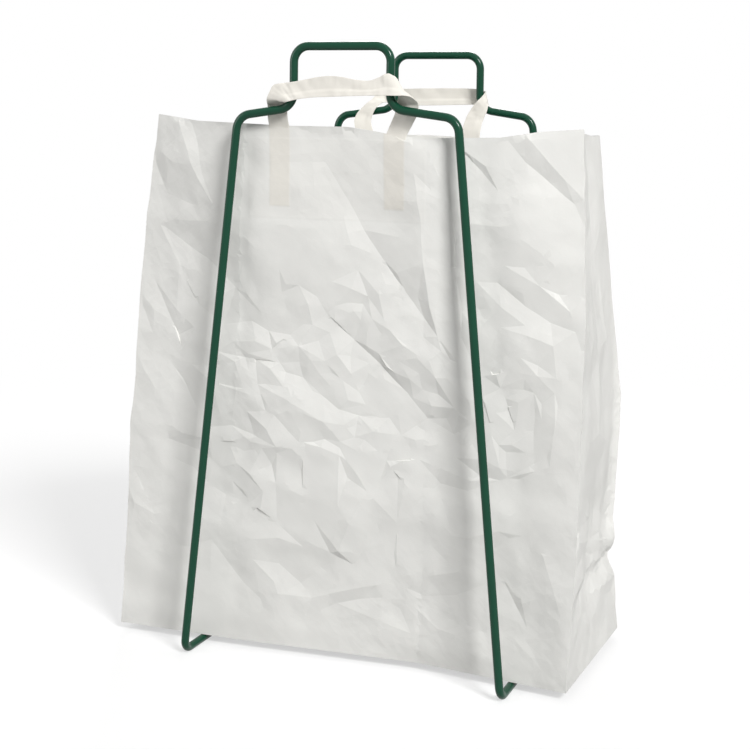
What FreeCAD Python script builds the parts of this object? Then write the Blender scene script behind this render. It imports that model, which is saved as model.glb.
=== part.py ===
import FreeCAD, Part
import math
import os
import Sketcher

# A wire rack that holds a paper carrier bag open by its two handles.
# Millimetres. Origin on the floor in the middle of the rack, +Z up, the front towards -Y.

Vector = FreeCAD.Vector

SIZES = [
    # The wire, bent as one closed loop
    ("wire_diameter", 6.0, "round wire, with its coating"),
    ("rack_height", 460.0, "floor to the top of the neck bars"),
    ("foot_spread", 252.0, "between the centre lines of the two floor rails"),
    ("base_depth", 208.5, "between the centre lines of the two frames at the floor"),
    ("top_depth", 188.0, "between the centre lines of the two neck bars"),
    ("shoulder_spread", 165.8, "between the outer shoulder corners of a frame"),
    ("shoulder_height", 408.2, "floor to the outer shoulder corners"),
    ("neck_root_height", 414.6, "floor to the corners where the neck starts"),
    ("neck_width", 72.6, "between the centre lines of the neck's two uprights"),
    ("neck_shift", 3.0, "how far each neck stands off the middle, to its own left"),
    ("foot_bend", 9.0, "bend radius at the feet"),
    ("shoulder_bend", 12.0, "bend radius at the shoulders"),
    ("neck_bend", 12.0, "bend radius where the neck starts"),
    ("top_bend", 11.0, "bend radius at the neck bar's ends"),
    ("splice_height", 60.0, "where the drawn centre lines of leg and foot meet"),
    # The paper bag
    ("bag_width", 368.0, "width of the bag's base"),
    ("bag_depth", 153.0, "depth of the bag's base"),
    ("bag_height", 391.7, "base to the mean level of the mouth"),
    ("bag_turn", -1.6, "degrees that the bag stands turned about the upright axis"),
    ("bag_shift_x", -13.0, "middle of the bag's base from the rack's middle"),
    ("bag_shift_y", -2.8, "the same, from front to back"),
    ("lean_left", 31.0, "how far the mouth's left corners stand inside the base's"),
    ("lean_right", 2.5, "the same at the front right corner"),
    ("lean_back", 23.0, "the same at the back right corner"),
    ("pinch_front_left", 17.0, "how far the mouth's front left corner stands in, front to back"),
    ("pinch_front_right", 6.5, "the same at the front right corner"),
    ("pinch_back_right", 19.0, "the same at the back right corner"),
    ("pinch_back_left", 22.0, "the same at the back left corner"),
    ("bow_right", 6.0, "how far the mouth's right side bows in at its middle"),
    ("bow_left", 8.0, "the same at its left side"),
    ("paper_wall", 0.8, "thickness that stands in for the paper"),
    ("seat_gap", 0.3, "running gap between the bag or its handles and the wire"),
    ("bag_gap", 4.4, "gap between a frame's inner side and the panel it faces"),
    # The handles and the patches that hold their ends
    ("handle_middle", -9.75, "middle of a handle from the rack's middle"),
    ("handle_spacing", 87.5, "between the middles of a handle's two ends"),
    ("strap_width", 15.6, "width of the folded paper strap"),
    ("strap_thickness", 0.6, "thickness of the folded paper strap"),
    ("strap_reach", 55.0, "how far the strap's ends reach down inside the bag"),
    ("patch_width", 136.0, "width of the patch over the strap's ends"),
    ("patch_height", 58.0, "height of the patch"),
    ("patch_skin", 0.4, "thickness of the patch over the strap"),
    ("patch_drop", 2.0, "top of the patch below the mouth's edge"),
    ("zone_margin", 3.0, "how far the panel stays flat past the patch's sides"),
]

# Creases of the front panel: across in percent from its left fold, up in percent
# from the base, and how far the paper stands out there in millimetres.
FRONT_CREASES = {
    "ridge from the left mouth corner": [(8, 97, 3), (13, 91, 4), (19, 84, 3)],
    "valley above the left leg's middle": [(6, 80, -3), (12, 77, -4), (19, 73, -4), (26, 69, -3)],
    "left slanting band": [(3, 75, 2), (8, 68, -2), (14, 59, -2), (18, 62, 2)],
    "valley under the right handle": [(57, 77, -4), (61, 73, -5), (67, 68, -3)],
    "ridge beside the right handle": [(69, 74, 3), (70, 66, 3)],
    "valley along the right leg": [(73, 94, -4), (74, 84, -5), (75, 73, -4), (76, 62, -2)],
    "valley at the right of the mouth": [(84, 97, -3), (91, 92, -3), (97, 88, -1)],
    "ridge at the right of the mouth": [(91, 97, 2), (96, 94, 2)],
    "shoulder of the right side": [(79, 86, 3), (88, 84, 3), (97, 80, 1)],
    "zigzag across the middle": [(32, 65, 1), (40, 71, 2), (47, 67, -2), (52, 72, 2), (58, 69, -1)],
    "upper ridge": [(20, 57, 2), (28, 56, 3), (37, 55, 3), (44, 50, 3), (49, 47, 2)],
    "valley above it": [(30, 60, -1), (36, 59, -2), (43, 54, -3), (49, 51, -3), (60, 49, -2)],
    "slanting valley": [(53, 63, -3), (60, 57, -3), (66, 52, -3), (74, 47, -2)],
    "ridge over the slanting valley": [(62, 65, 2), (71, 58, 2)],
    "right side facets": [(83, 75, -2), (90, 70, -1), (97, 67, 1), (80, 66, 1), (88, 60, 2)],
    "right side band": [(84, 54, 2), (90, 53, -2), (95, 48, 2)],
    "old cross fold": [(4, 41, 1), (10, 39, -1), (20, 40, 1), (30, 41, -1), (38, 40, 1),
                       (47, 42, 3), (54, 41, -1), (60, 40, 2), (69, 41, -1), (79, 38, 2),
                       (92, 40, -1)],
    "upright fold in the middle": [(50, 34, 2), (50, 25, 2)],
    "right slope": [(85, 29, 3), (92, 27, 1), (88, 18, -3), (95, 14, -2)],
    "lower left slant": [(20, 35, -1), (30, 28, 1), (36, 25, -1), (43, 20, -1)],
    "lower crease": [(48, 9, -1), (55, 12, -2), (62, 16, 1)],
    "low ridge": [(67, 14, 1), (75, 10, 2), (84, 8, 1)],
    "low left facets": [(8, 22, 1), (15, 15, -1), (22, 17, 1), (29, 11, -1), (36, 13, 1)],
}

# Creases of a side panel, across from its front fold. The point of the bag's folded
# base is where the upright crease of the gusset ends.
SIDE_CREASES = {
    "point of the gusset": [(50, 21, -4)],
    "triangle of the folded base": [(25, 11, -1), (75, 11, -1)],
    "cross fold through the point": [(18, 22, 1), (82, 22, -3)],
    "upright crease": [(50, 42, 1), (50, 60, 1), (50, 82, -2)],
    "facets": [(26, 36, 2), (74, 38, 2), (28, 55, -1), (72, 66, -1), (26, 76, 2), (76, 86, 1)],
}

# Points that keep the handles' flat zone of the front and back panels flat, in percent
ZONE_COLUMNS = (26, 36, 47, 57, 68)
ZONE_ROWS = (80, 91)

# The bag's ten upright lines, round from the front left. Each: how far its top stands off
# the mean level of the mouth, how far its foot is drawn in from the straight edge of the
# base, and where it sways off its own line (up in percent, shift in x, shift in y).
UPRIGHTS = {
    "front left": (9, 0, [(24, 0, -3), (41, -2, -5), (50, -1, -5), (68, -2, -5), (80, -2, -3)]),
    "front zone left": (5, 2, []),
    "front zone right": (-2.5, 13, []),
    "front right": (2, 0, [(24, 4, 0), (50, 6, -3), (68, 6, -3), (91, 2, -1)]),
    "middle right": (-3, 0, [(24, -1, 0), (50, 9, 0), (75, 3, 0)]),
    "back right": (-7, 0, [(16, -2, 0), (24, -6, 0), (32, -4, 2), (50, 4, 3), (75, 3, 2)]),
    "back zone right": (-6, 5, []),
    "back zone left": (-4, 4, []),
    "back left": (-2, 0, [(41, -2, 4), (75, -1, 3)]),
    "middle left": (0, 0, [(24, 2, 0), (50, -2, 0), (75, -1, 0)]),
}
FRONT_ZONE = ("front zone left", "front zone right")
BACK_ZONE = ("back zone left", "back zone right")

# A strap lies on the shoulder this far outside the neck's upright, and its crossing
# stretch reaches this far above the corner where the neck starts
STRAP_BESIDE_NECK = 4.0
STRAP_CROWN = 21.0

# How a strap's leg lies over the shoulder wire, station by station: how far behind the
# wire's centre line and how far above it, in shares of the distance at which they touch
STRAP_LAY = [(1.14, 0.0), (0.64, 0.78), (-1.25, 2.15)]

# Stations of the crossing stretch: share of its length, how far it stands forward,
# how far it rises, and how far its lower edge is shifted
STRAP_CROSSING = [(0.14, 0.6, -4.0, 5.0), (0.3, 1.4, -0.5, 0.0), (0.52, 2.0, 1.0, 0.0),
                  (0.7, 1.6, -0.8, 0.0), (0.86, 0.6, -2.5, -5.0)]

# Points along the panels' shared edges, in percent
EDGE_ACROSS = (0, 9, 18, 26, 36, 47, 57, 68, 76, 84, 92, 100)
EDGE_UP = (0, 8, 16, 24, 32, 41, 50, 59, 68, 74, 80, 91, 100)
EDGE_SIDE = (0, 25, 50, 75, 100)


def make_sheet(doc):
    """The driving dimensions, one named cell each."""
    sheet = doc.addObject("Spreadsheet::Sheet", "sizes")
    for row, (alias, value, meaning) in enumerate(SIZES, start=1):
        sheet.set(f"A{row}", meaning)
        sheet.set(f"B{row}", str(value))
        sheet.setAlias(f"B{row}", alias)
    doc.recompute()
    return sheet


def origin_feature(body, role):
    """One of a body's own planes or axes."""
    return next(item for item in body.Origin.OriginFeatures if item.Role == role)


def new_sketch(body, name, plane, base=None, turn=0.0, tilt=None):
    """A sketch on one of the body's planes.

    base: expressions that shift it; turn: +1 or -1, the way it tilts about its own X;
    tilt: the expression of that tilt.
    """
    sketch = body.newObject("Sketcher::SketchObject", name)
    sketch.AttachmentSupport = (origin_feature(body, plane), [""])
    sketch.MapMode = "FlatFace"
    if tilt:
        axis = Vector(turn, 0, 0)
        sketch.AttachmentOffset = FreeCAD.Placement(Vector(), FreeCAD.Rotation(axis, 1.0))
        sketch.setExpression("AttachmentOffset.Rotation.Angle", tilt)
    for letter, expression in (base or {}).items():
        sketch.setExpression("AttachmentOffset.Base." + letter, expression)
    return sketch


def bind(sketch, constraint, name, expression):
    """Add a constraint and tie its value to the sheet."""
    index = sketch.addConstraint(constraint)
    sketch.renameConstraint(index, name)
    sketch.setExpression("Constraints." + name, expression)


def value_of(sheet, expression):
    """The number that an expression of the sheet's sizes gives."""
    result = sheet.evalExpression(expression)
    return float(getattr(result, "Value", result))


def circle_sketch(body, sheet, name, plane, across, up):
    """The wire's round section."""
    sketch = new_sketch(body, name, plane)
    radius = sheet.wire_diameter / 2
    centre = Vector(value_of(sheet, across), value_of(sheet, up), 0)
    ring = sketch.addGeometry(Part.Circle(centre, Vector(0, 0, 1), radius), False)
    bind(sketch, Sketcher.Constraint("DistanceX", -1, 1, ring, 3, centre.x), "across", across)
    bind(sketch, Sketcher.Constraint("DistanceY", -1, 1, ring, 3, centre.y), "up", up)
    bind(sketch, Sketcher.Constraint("Diameter", ring, 2 * radius), "section", "sizes.wire_diameter")
    return sketch


def corner_arc(before, corner, after, radius):
    """The arc that rounds a corner, and its two ends."""
    way_in = (before - corner).normalize()
    way_out = (after - corner).normalize()
    half = way_in.getAngle(way_out) / 2
    start = corner + way_in * (radius / math.tan(half))
    end = corner + way_out * (radius / math.tan(half))
    centre = corner + (way_in + way_out).normalize() * (radius / math.sin(half))
    middle = centre + (corner - centre).normalize() * radius
    return Part.ArcOfCircle(start, middle, end), start, end


def path_sketch(sketch, sheet, points, bends):
    """A path of straight runs and bends, with every corner tied to the sheet.

    points: (across, up) expressions; bends: a radius expression for each inner point.
    """
    places = [Vector(value_of(sheet, x), value_of(sheet, y), 0) for x, y in points]
    corners = []
    for index, (x, y) in enumerate(points):
        mark = sketch.addGeometry(Part.Point(places[index]), True)
        bind(sketch, Sketcher.Constraint("DistanceX", -1, 1, mark, 1, places[index].x), f"x{index}", x)
        bind(sketch, Sketcher.Constraint("DistanceY", -1, 1, mark, 1, places[index].y), f"y{index}", y)
        corners.append(mark)
    arcs = []
    for index, bend in enumerate(bends, start=1):
        radius = value_of(sheet, bend)
        arc, start, end = corner_arc(places[index - 1], places[index], places[index + 1], radius)
        arcs.append((arc, start, end, bend))
    run_ends = [places[0]] + [end for arc in arcs for end in (arc[1], arc[2])] + [places[-1]]
    runs, bent = [], []
    for index in range(len(points) - 1):
        line = Part.LineSegment(run_ends[2 * index], run_ends[2 * index + 1])
        runs.append(sketch.addGeometry(line, False))
        if index < len(arcs):
            bent.append(sketch.addGeometry(arcs[index][0], False))
    for index, run in enumerate(runs):
        first, last = corners[index], corners[index + 1]
        if index == 0:
            sketch.addConstraint(Sketcher.Constraint("Coincident", run, 1, first, 1))
        else:
            sketch.addConstraint(Sketcher.Constraint("PointOnObject", first, 1, run))
        if index == len(runs) - 1:
            sketch.addConstraint(Sketcher.Constraint("Coincident", run, 2, last, 1))
        else:
            sketch.addConstraint(Sketcher.Constraint("PointOnObject", last, 1, run))
    for index, (arc, start, end, bend) in enumerate(arcs):
        begins = sketch.getPoint(bent[index], 1).distanceToPoint(start) < 1e-6
        near, far = (1, 2) if begins else (2, 1)
        sketch.addConstraint(Sketcher.Constraint("Tangent", runs[index], 2, bent[index], near))
        sketch.addConstraint(Sketcher.Constraint("Tangent", runs[index + 1], 1, bent[index], far))
        radius = Sketcher.Constraint("Radius", bent[index], value_of(sheet, bend))
        bind(sketch, radius, f"bend{index}", bend)
    return sketch


def add_pipe(body, name, profile, spine):
    """Wire along a path."""
    pipe = body.newObject("PartDesign::AdditivePipe", name)
    pipe.Profile = profile
    pipe.Spine = (spine, [""])
    body.Tip = pipe
    return pipe


# Expressions that both kinds of wire path share
LEAN = "(sizes.base_depth - sizes.top_depth) / 2 / (sizes.rack_height - sizes.wire_diameter)"
SPREAD = ("(sizes.foot_spread - sizes.shoulder_spread) / 2"
          " / (sizes.shoulder_height - sizes.wire_diameter / 2)")
SPLICE = "(sizes.splice_height - sizes.wire_diameter / 2)"


def up_frame(height):
    """A height above the floor, as a distance up a leaning frame."""
    return f"({height} - sizes.wire_diameter / 2) / cos(atan({LEAN}))"


def neck_path(body, sheet, side):
    """Centre line from the middle of the neck bar down to the splice of one leg."""
    name = "right" if side > 0 else "left"
    base = {"y": "sizes.wire_diameter / 2", "z": "sizes.base_depth / 2"}
    sketch = new_sketch(body, f"neck_path_{name}", "XZ_Plane", base, -1, f"atan({LEAN})")
    neck = f"{side} * sizes.neck_width / 2 - sizes.neck_shift"
    top = up_frame("(sizes.rack_height - sizes.wire_diameter / 2)")
    points = [
        ("0", top),
        (neck, top),
        (neck, up_frame("sizes.neck_root_height")),
        (f"{side} * sizes.shoulder_spread / 2", up_frame("sizes.shoulder_height")),
        (f"{side} * (sizes.foot_spread / 2 - {SPLICE} * {SPREAD})", up_frame("sizes.splice_height")),
    ]
    return path_sketch(sketch, sheet, points,
                       ["sizes.top_bend", "sizes.neck_bend", "sizes.shoulder_bend"])


def foot_path(body, sheet, side):
    """Centre line from the middle of a floor rail round the foot to the leg's splice."""
    name = "right" if side > 0 else "left"
    base = {"y": "sizes.wire_diameter / 2", "z": f"{side} * sizes.foot_spread / 2"}
    sketch = new_sketch(body, f"foot_path_{name}", "YZ_Plane", base, -side, f"atan({SPREAD})")
    points = [
        ("0", "0"),
        ("-sizes.base_depth / 2", "0"),
        (f"-sizes.base_depth / 2 + {SPLICE} * {LEAN}", f"{SPLICE} / cos(atan({SPREAD}))"),
    ]
    return path_sketch(sketch, sheet, points, ["sizes.foot_bend"])


def make_wire_frame(doc, sheet):
    """The rack: its front half is drawn, and half a turn about Z gives the back."""
    body = doc.addObject("PartDesign::Body", "wire_frame")
    body.Label = "wire_frame"
    bar = circle_sketch(body, sheet, "bar_section", "YZ_Plane",
                        "-sizes.top_depth / 2", "sizes.rack_height - sizes.wire_diameter / 2")
    pipes = []
    for side, name in ((-1, "left"), (1, "right")):
        pipes.append(add_pipe(body, f"leg_{name}", bar, neck_path(body, sheet, side)))
    for side, name in ((-1, "left"), (1, "right")):
        rail = circle_sketch(body, sheet, f"rail_section_{name}", "XZ_Plane",
                             f"{side} * sizes.foot_spread / 2", "sizes.wire_diameter / 2")
        pipes.append(add_pipe(body, f"foot_{name}", rail, foot_path(body, sheet, side)))
    half_turn = body.newObject("PartDesign::PolarPattern", "back_half")
    half_turn.Originals = pipes
    half_turn.Axis = (origin_feature(body, "Z_Axis"), [""])
    half_turn.Angle = 360
    half_turn.Occurrences = 2
    body.Tip = half_turn
    doc.recompute()
    return body


def frame_face(sheet, height):
    """Distance from the rack's middle plane to a frame's centre line at a height."""
    rise = height - sheet.wire_diameter / 2
    lean = (sheet.base_depth - sheet.top_depth) / 2 / (sheet.rack_height - sheet.wire_diameter)
    return sheet.base_depth / 2 - rise * lean


def panel_plane(sheet):
    """Distance from the rack's middle plane to the flat zone of the front panel."""
    inner_side = frame_face(sheet, sheet.shoulder_height) - sheet.wire_diameter / 2
    return inner_side - sheet.bag_gap


def base_corner(sheet, across, along):
    """A point of the bag's base: across and along run from -1 to 1."""
    turn = math.radians(sheet.bag_turn)
    x, y = across * sheet.bag_width / 2, along * sheet.bag_depth / 2
    return Vector(sheet.bag_shift_x + x * math.cos(turn) - y * math.sin(turn),
                  sheet.bag_shift_y + x * math.sin(turn) + y * math.cos(turn), 0)


def upright(name, foot, mouth, sways):
    """An upright line of the bag: its ends in plan, its rim and where it sways."""
    return {"foot": foot, "mouth": mouth, "rim": UPRIGHTS[name][0],
            "stations": [(0, 0, 0)] + sways + [(100, 0, 0)]}


def upright_place(line, up):
    """Where an upright line stands in plan, up percent of its height."""
    place = line["foot"] + (line["mouth"] - line["foot"]) * (up / 100)
    for (low, x0, y0), (high, x1, y1) in zip(line["stations"], line["stations"][1:]):
        if low <= up <= high:
            share = (up - low) / (high - low)
            return place + Vector(x0 + (x1 - x0) * share, y0 + (y1 - y0) * share, 0)
    return place


def corner_upright(sheet, name, across, along, lean, pinch):
    """One of the bag's four corners, whose mouth stands inside its base."""
    foot = base_corner(sheet, across, along)
    mouth = foot - Vector(across * lean, along * pinch, 0)
    return upright(name, foot, mouth, UPRIGHTS[name][2])


def middle_upright(sheet, name, across, corners, bow):
    """The gusset's line, in the middle of a side panel."""
    mouth = (corners[0]["mouth"] + corners[1]["mouth"]) / 2 - Vector(across * bow, 0, 0)
    return upright(name, base_corner(sheet, across, 0), mouth, UPRIGHTS[name][2])


def zone_upright(sheet, name, way, side):
    """A line at an end of the handle's flat zone, which it follows from the zone's foot up."""
    across = ZONE_COLUMNS[0] if way < 0 else ZONE_COLUMNS[-1]
    foot = base_corner(sheet, across / 50 - 1, side) - Vector(0, side * UPRIGHTS[name][1], 0)
    x = sheet.handle_middle + way * (sheet.patch_width / 2 + sheet.zone_margin)
    mouth = Vector(x, side * panel_plane(sheet), 0)
    left_over = (mouth - foot) * (1 - ZONE_ROWS[0] / 100)
    return upright(name, foot, mouth, [(ZONE_ROWS[0], left_over.x, left_over.y)])


def bag_uprights(sheet):
    """The ten upright lines of the bag by name, round from the front left."""
    front_left = corner_upright(sheet, "front left", -1, -1, sheet.lean_left, sheet.pinch_front_left)
    front_right = corner_upright(sheet, "front right", 1, -1, sheet.lean_right,
                                 sheet.pinch_front_right)
    back_right = corner_upright(sheet, "back right", 1, 1, sheet.lean_back, sheet.pinch_back_right)
    back_left = corner_upright(sheet, "back left", -1, 1, sheet.lean_left, sheet.pinch_back_left)
    right_side, left_side = (front_right, back_right), (front_left, back_left)
    lines = [
        front_left,
        zone_upright(sheet, "front zone left", -1, -1),
        zone_upright(sheet, "front zone right", 1, -1),
        front_right,
        middle_upright(sheet, "middle right", 1, right_side, sheet.bow_right),
        back_right,
        zone_upright(sheet, "back zone right", 1, 1),
        zone_upright(sheet, "back zone left", -1, 1),
        back_left,
        middle_upright(sheet, "middle left", -1, left_side, sheet.bow_left),
    ]
    return dict(zip(UPRIGHTS, lines))


def section(lines, up, inset):
    """The bag's outline at one height by line, drawn in by inset square to its sides."""
    ring = [upright_place(line, up) for line in lines.values()]
    if not inset:
        return dict(zip(lines, ring))
    drawn_in = []
    for index, place in enumerate(ring):
        before, after = ring[index - 1], ring[(index + 1) % len(ring)]
        way_in = (place - before).normalize()
        way_out = (after - place).normalize()
        inward_in = Vector(-way_in.y, way_in.x, 0)
        inward_out = Vector(-way_out.y, way_out.x, 0)
        mitre = (inward_in + inward_out).normalize()
        drawn_in.append(place + mitre * (inset / mitre.dot(inward_in)))
    return dict(zip(lines, drawn_in))


def circle_holds(corners, point):
    """Whether the circle through three points holds a fourth inside it."""
    (ax, ay), (bx, by), (cx, cy) = ((x - point[0], y - point[1]) for x, y in corners)
    a2, b2, c2 = ax * ax + ay * ay, bx * bx + by * by, cx * cx + cy * cy
    return (a2 * (bx * cy - cx * by) - b2 * (ax * cy - cx * ay) + c2 * (ax * by - bx * ay)) > 1e-6


def facets_between(points):
    """Triangles that join flat points as evenly as can be (Delaunay)."""
    reach = 20 * max(max(abs(x), abs(y)) for x, y in points)
    spread = list(points) + [(-reach, -reach), (reach, -reach), (0, reach)]
    count = len(points)
    triangles = {(count, count + 1, count + 2)}
    for index, point in enumerate(points):
        hit = [item for item in triangles if circle_holds([spread[k] for k in item], point)]
        edges = [(item[k], item[(k + 1) % 3]) for item in hit for k in range(3)]
        triangles.difference_update(hit)
        for start, end in edges:
            if (end, start) not in edges:
                triangles.add((start, end, index))
    return sorted(item for item in triangles if max(item) < count)


def panel_points(creases, across_edge):
    """Every point of a panel: across, up, out, with its edges first."""
    points = [(across, up, 0) for across in (0, 100) for up in EDGE_UP]
    points += [(across, up, 0) for across in across_edge[1:-1] for up in (0, 100)]
    for crease in creases.values():
        points += crease
    return points


def zone_points():
    """Points that keep the handle's zone flat."""
    return [(across, up, 0) for across in ZONE_COLUMNS for up in ZONE_ROWS]


def panel_mesh(points, place, flip):
    """A panel's points in space and its facets."""
    flat = [(point[0], point[1]) for point in points]
    corners = [place(*point) for point in points]
    facets = []
    for one, two, three in facets_between(flat):
        facets.append((one, three, two) if flip else (one, two, three))
    return corners, facets


def spread_between(knots, across):
    """The two lines beside a place across a panel, and the share between them."""
    for index, (low, high) in enumerate(zip(knots, knots[1:])):
        if across <= high:
            return index, (across - low) / (high - low)
    return len(knots) - 2, 1.0


def panel_place(sheet, lines, picks, knots, outward, inset):
    """The function that puts a panel's point (across, up, out) in space."""
    floor = sheet.wire_diameter + sheet.seat_gap

    def place(across, up, out):
        ring = section(lines, up, inset)
        index, share = spread_between(knots, across)
        first, second = picks[index], picks[index + 1]
        flat = ring[first] + (ring[second] - ring[first]) * share + outward * out
        rim = lines[first]["rim"] + (lines[second]["rim"] - lines[first]["rim"]) * share
        top = floor + sheet.bag_height + rim
        low = floor + inset
        return Vector(flat.x, flat.y, low + (top - low) * up / 100)

    return place


def base_mesh(place_front, place_back, place_left, place_right, flip):
    """The flat base, drawn between the lower edges of the four panels."""
    corners, facets = [], []
    for j in EDGE_SIDE:
        for i in EDGE_ACROSS:
            s, r = i / 100, j / 100
            front, back = place_front(i, 0, 0), place_back(i, 0, 0)
            left, right = place_left(j, 0, 0), place_right(j, 0, 0)
            along = front * (1 - r) + back * r + left * (1 - s) + right * s
            ends = (place_front(0, 0, 0) * ((1 - s) * (1 - r)) + place_front(100, 0, 0) * (s * (1 - r))
                    + place_back(0, 0, 0) * ((1 - s) * r) + place_back(100, 0, 0) * (s * r))
            corners.append(along - ends)
    wide = len(EDGE_ACROSS)
    for j in range(len(EDGE_SIDE) - 1):
        for i in range(wide - 1):
            one = j * wide + i
            two, three, four = one + 1, one + 1 + wide, one + wide
            pair = [(one, two, three), (one, three, four)]
            facets += [(a, c, b) for a, b, c in pair] if flip else pair
    return corners, facets


def bag_skin(sheet, lines, inset):
    """All facets of the bag's outer or inner side, as triangles of points."""
    handle_knots = (0, ZONE_COLUMNS[0], ZONE_COLUMNS[-1], 100)
    front_lines = ("front left", *FRONT_ZONE, "front right")
    back_lines = ("back left", *BACK_ZONE, "back right")
    right_lines = ("front right", "middle right", "back right")
    left_lines = ("front left", "middle left", "back left")
    front = panel_place(sheet, lines, front_lines, handle_knots, Vector(0, -1, 0), inset)
    right = panel_place(sheet, lines, right_lines, (0, 50, 100), Vector(1, 0, 0), inset)
    back = panel_place(sheet, lines, back_lines, handle_knots, Vector(0, 1, 0), inset)
    left = panel_place(sheet, lines, left_lines, (0, 50, 100), Vector(-1, 0, 0), inset)
    wide = panel_points(FRONT_CREASES, EDGE_ACROSS) + zone_points()
    narrow = panel_points(SIDE_CREASES, EDGE_SIDE)
    inner = inset > 0
    skins = [
        panel_mesh(wide, front, inner),
        panel_mesh(wide, back, not inner),
        panel_mesh(narrow, right, inner),
        panel_mesh(narrow, left, not inner),
        base_mesh(front, back, left, right, not inner),
    ]
    triangles = []
    for corners, facets in skins:
        triangles += [[corners[index] for index in facet] for facet in facets]
    rim = [front(across, 100, 0) for across in EDGE_ACROSS]
    rim += [right(across, 100, 0) for across in EDGE_SIDE[1:]]
    rim += [back(across, 100, 0) for across in reversed(EDGE_ACROSS[:-1])]
    rim += [left(across, 100, 0) for across in reversed(EDGE_SIDE[1:-1])]
    return triangles, rim


def solid_from(triangles):
    """A closed solid from triangles that share their corners."""
    numbers, points, facets = {}, [], []
    for triangle in triangles:
        facet = []
        for corner in triangle:
            key = (round(corner.x, 6), round(corner.y, 6), round(corner.z, 6))
            if key not in numbers:
                numbers[key] = len(points)
                points.append(Vector(*key))
            facet.append(numbers[key])
        if len(set(facet)) == 3:
            facets.append(tuple(facet))
    shape = Part.Shape()
    shape.makeShapeFromMesh((points, facets), 0.0001)
    return Part.Solid(Part.Shell(shape.Faces))


def make_bag(doc, sheet):
    """The folded bag: an outer skin, an inner skin and the edge of the mouth."""
    lines = bag_uprights(sheet)
    outer, outer_rim = bag_skin(sheet, lines, 0.0)
    inner, inner_rim = bag_skin(sheet, lines, sheet.paper_wall)
    triangles = outer + inner
    for index in range(len(outer_rim)):
        after = (index + 1) % len(outer_rim)
        one, two = outer_rim[index], outer_rim[after]
        three, four = inner_rim[after], inner_rim[index]
        triangles += [[one, two, three], [one, three, four]]
    bag = doc.addObject("Part::Feature", "bag")
    bag.Label = "bag"
    bag.Shape = solid_from(triangles)
    return bag


# Mean level of the mouth, which the straps' reach inside the bag is measured from
STRAP_TOP = "(sizes.wire_diameter + sizes.seat_gap + sizes.bag_height)"

# How far the front panel's flat zone, and the patch behind it, stand from the middle plane
PANEL = ("(sizes.base_depth / 2 - (sizes.shoulder_height - sizes.wire_diameter / 2)"
         f" * {LEAN} - sizes.wire_diameter / 2 - sizes.bag_gap)")


def make_patch(doc, sheet, name, side):
    """The patch that holds a handle's ends against the panel, grooved over them."""
    body = doc.addObject("PartDesign::Body", name)
    body.Label = name
    top = patch_top(side)
    inner_face = {"z": f"{-side} * ({PANEL} - sizes.paper_wall)"}
    outline = new_sketch(body, name + "_outline", "XZ_Plane", inner_face)
    rectangle(outline, sheet, "", "sizes.handle_middle", top, "sizes.patch_width",
              "sizes.patch_height")
    pad = body.newObject("PartDesign::Pad", name + "_pad")
    pad.Profile = outline
    pad.setExpression("Length", "sizes.strap_thickness + sizes.patch_skin")
    pad.Reversed = side < 0
    doc.recompute()
    grooves = new_sketch(body, name + "_grooves", "XZ_Plane", inner_face)
    reach = f"sizes.strap_reach - ({STRAP_TOP} - ({top}))"
    for way, letter in ((-1, "a"), (1, "b")):
        middle = f"sizes.handle_middle + {way} * sizes.handle_spacing / 2"
        rectangle(grooves, sheet, letter, middle, top, "sizes.strap_width", reach)
    pocket = body.newObject("PartDesign::Pocket", name + "_pocket")
    pocket.Profile = grooves
    pocket.setExpression("Length", "sizes.strap_thickness")
    pocket.Reversed = side > 0
    body.Tip = pocket
    doc.recompute()
    expected = (sheet.strap_thickness + sheet.patch_skin) * sheet.patch_width * sheet.patch_height
    expected -= 2 * sheet.strap_thickness * sheet.strap_width * value_of(sheet, reach)
    if abs(body.Shape.Volume - expected) > 1e-3 * expected:
        raise ValueError(f"{name}: the grooves were not cut")
    return body


def rectangle(sketch, sheet, letter, middle, top, width, height):
    """An upright rectangle tied to its middle, its top edge and its sizes."""
    centre, level, wide, high = (value_of(sheet, text) for text in (middle, top, width, height))
    left, right = centre - wide / 2, centre + wide / 2
    corners = [Vector(left, level - high, 0), Vector(right, level - high, 0),
               Vector(right, level, 0), Vector(left, level, 0)]
    sides = [sketch.addGeometry(Part.LineSegment(corners[k], corners[(k + 1) % 4]), False)
             for k in range(4)]
    for k in range(4):
        sketch.addConstraint(Sketcher.Constraint("Coincident", sides[k], 2, sides[(k + 1) % 4], 1))
    for k, way in ((0, "Horizontal"), (1, "Vertical"), (2, "Horizontal"), (3, "Vertical")):
        sketch.addConstraint(Sketcher.Constraint(way, sides[k]))
    wanted = [("width", "DistanceX", (sides[0], 1, sides[0], 2), wide, width),
              ("height", "DistanceY", (sides[1], 1, sides[1], 2), high, height),
              ("left", "DistanceX", (-1, 1, sides[3], 1), left, f"{middle} - ({width}) / 2"),
              ("top", "DistanceY", (-1, 1, sides[3], 1), level, top)]
    for word, kind, ends, value, expression in wanted:
        bind(sketch, Sketcher.Constraint(kind, *ends, value), word + letter, expression)


def mouth_level(sheet, rim):
    """Height of the mouth's edge where it stands rim above its mean level."""
    return sheet.wire_diameter + sheet.seat_gap + sheet.bag_height + rim


def zone_rims(side):
    """How far the mouth's edge stands off its mean level at a panel's zone lines."""
    return [UPRIGHTS[name][0] for name in (FRONT_ZONE if side < 0 else BACK_ZONE)]


def patch_top(side):
    """Top edge of a patch, below the lowest part of the mouth's edge in its zone."""
    return f"{STRAP_TOP} + {min(zone_rims(side))} - sizes.patch_drop"


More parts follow.
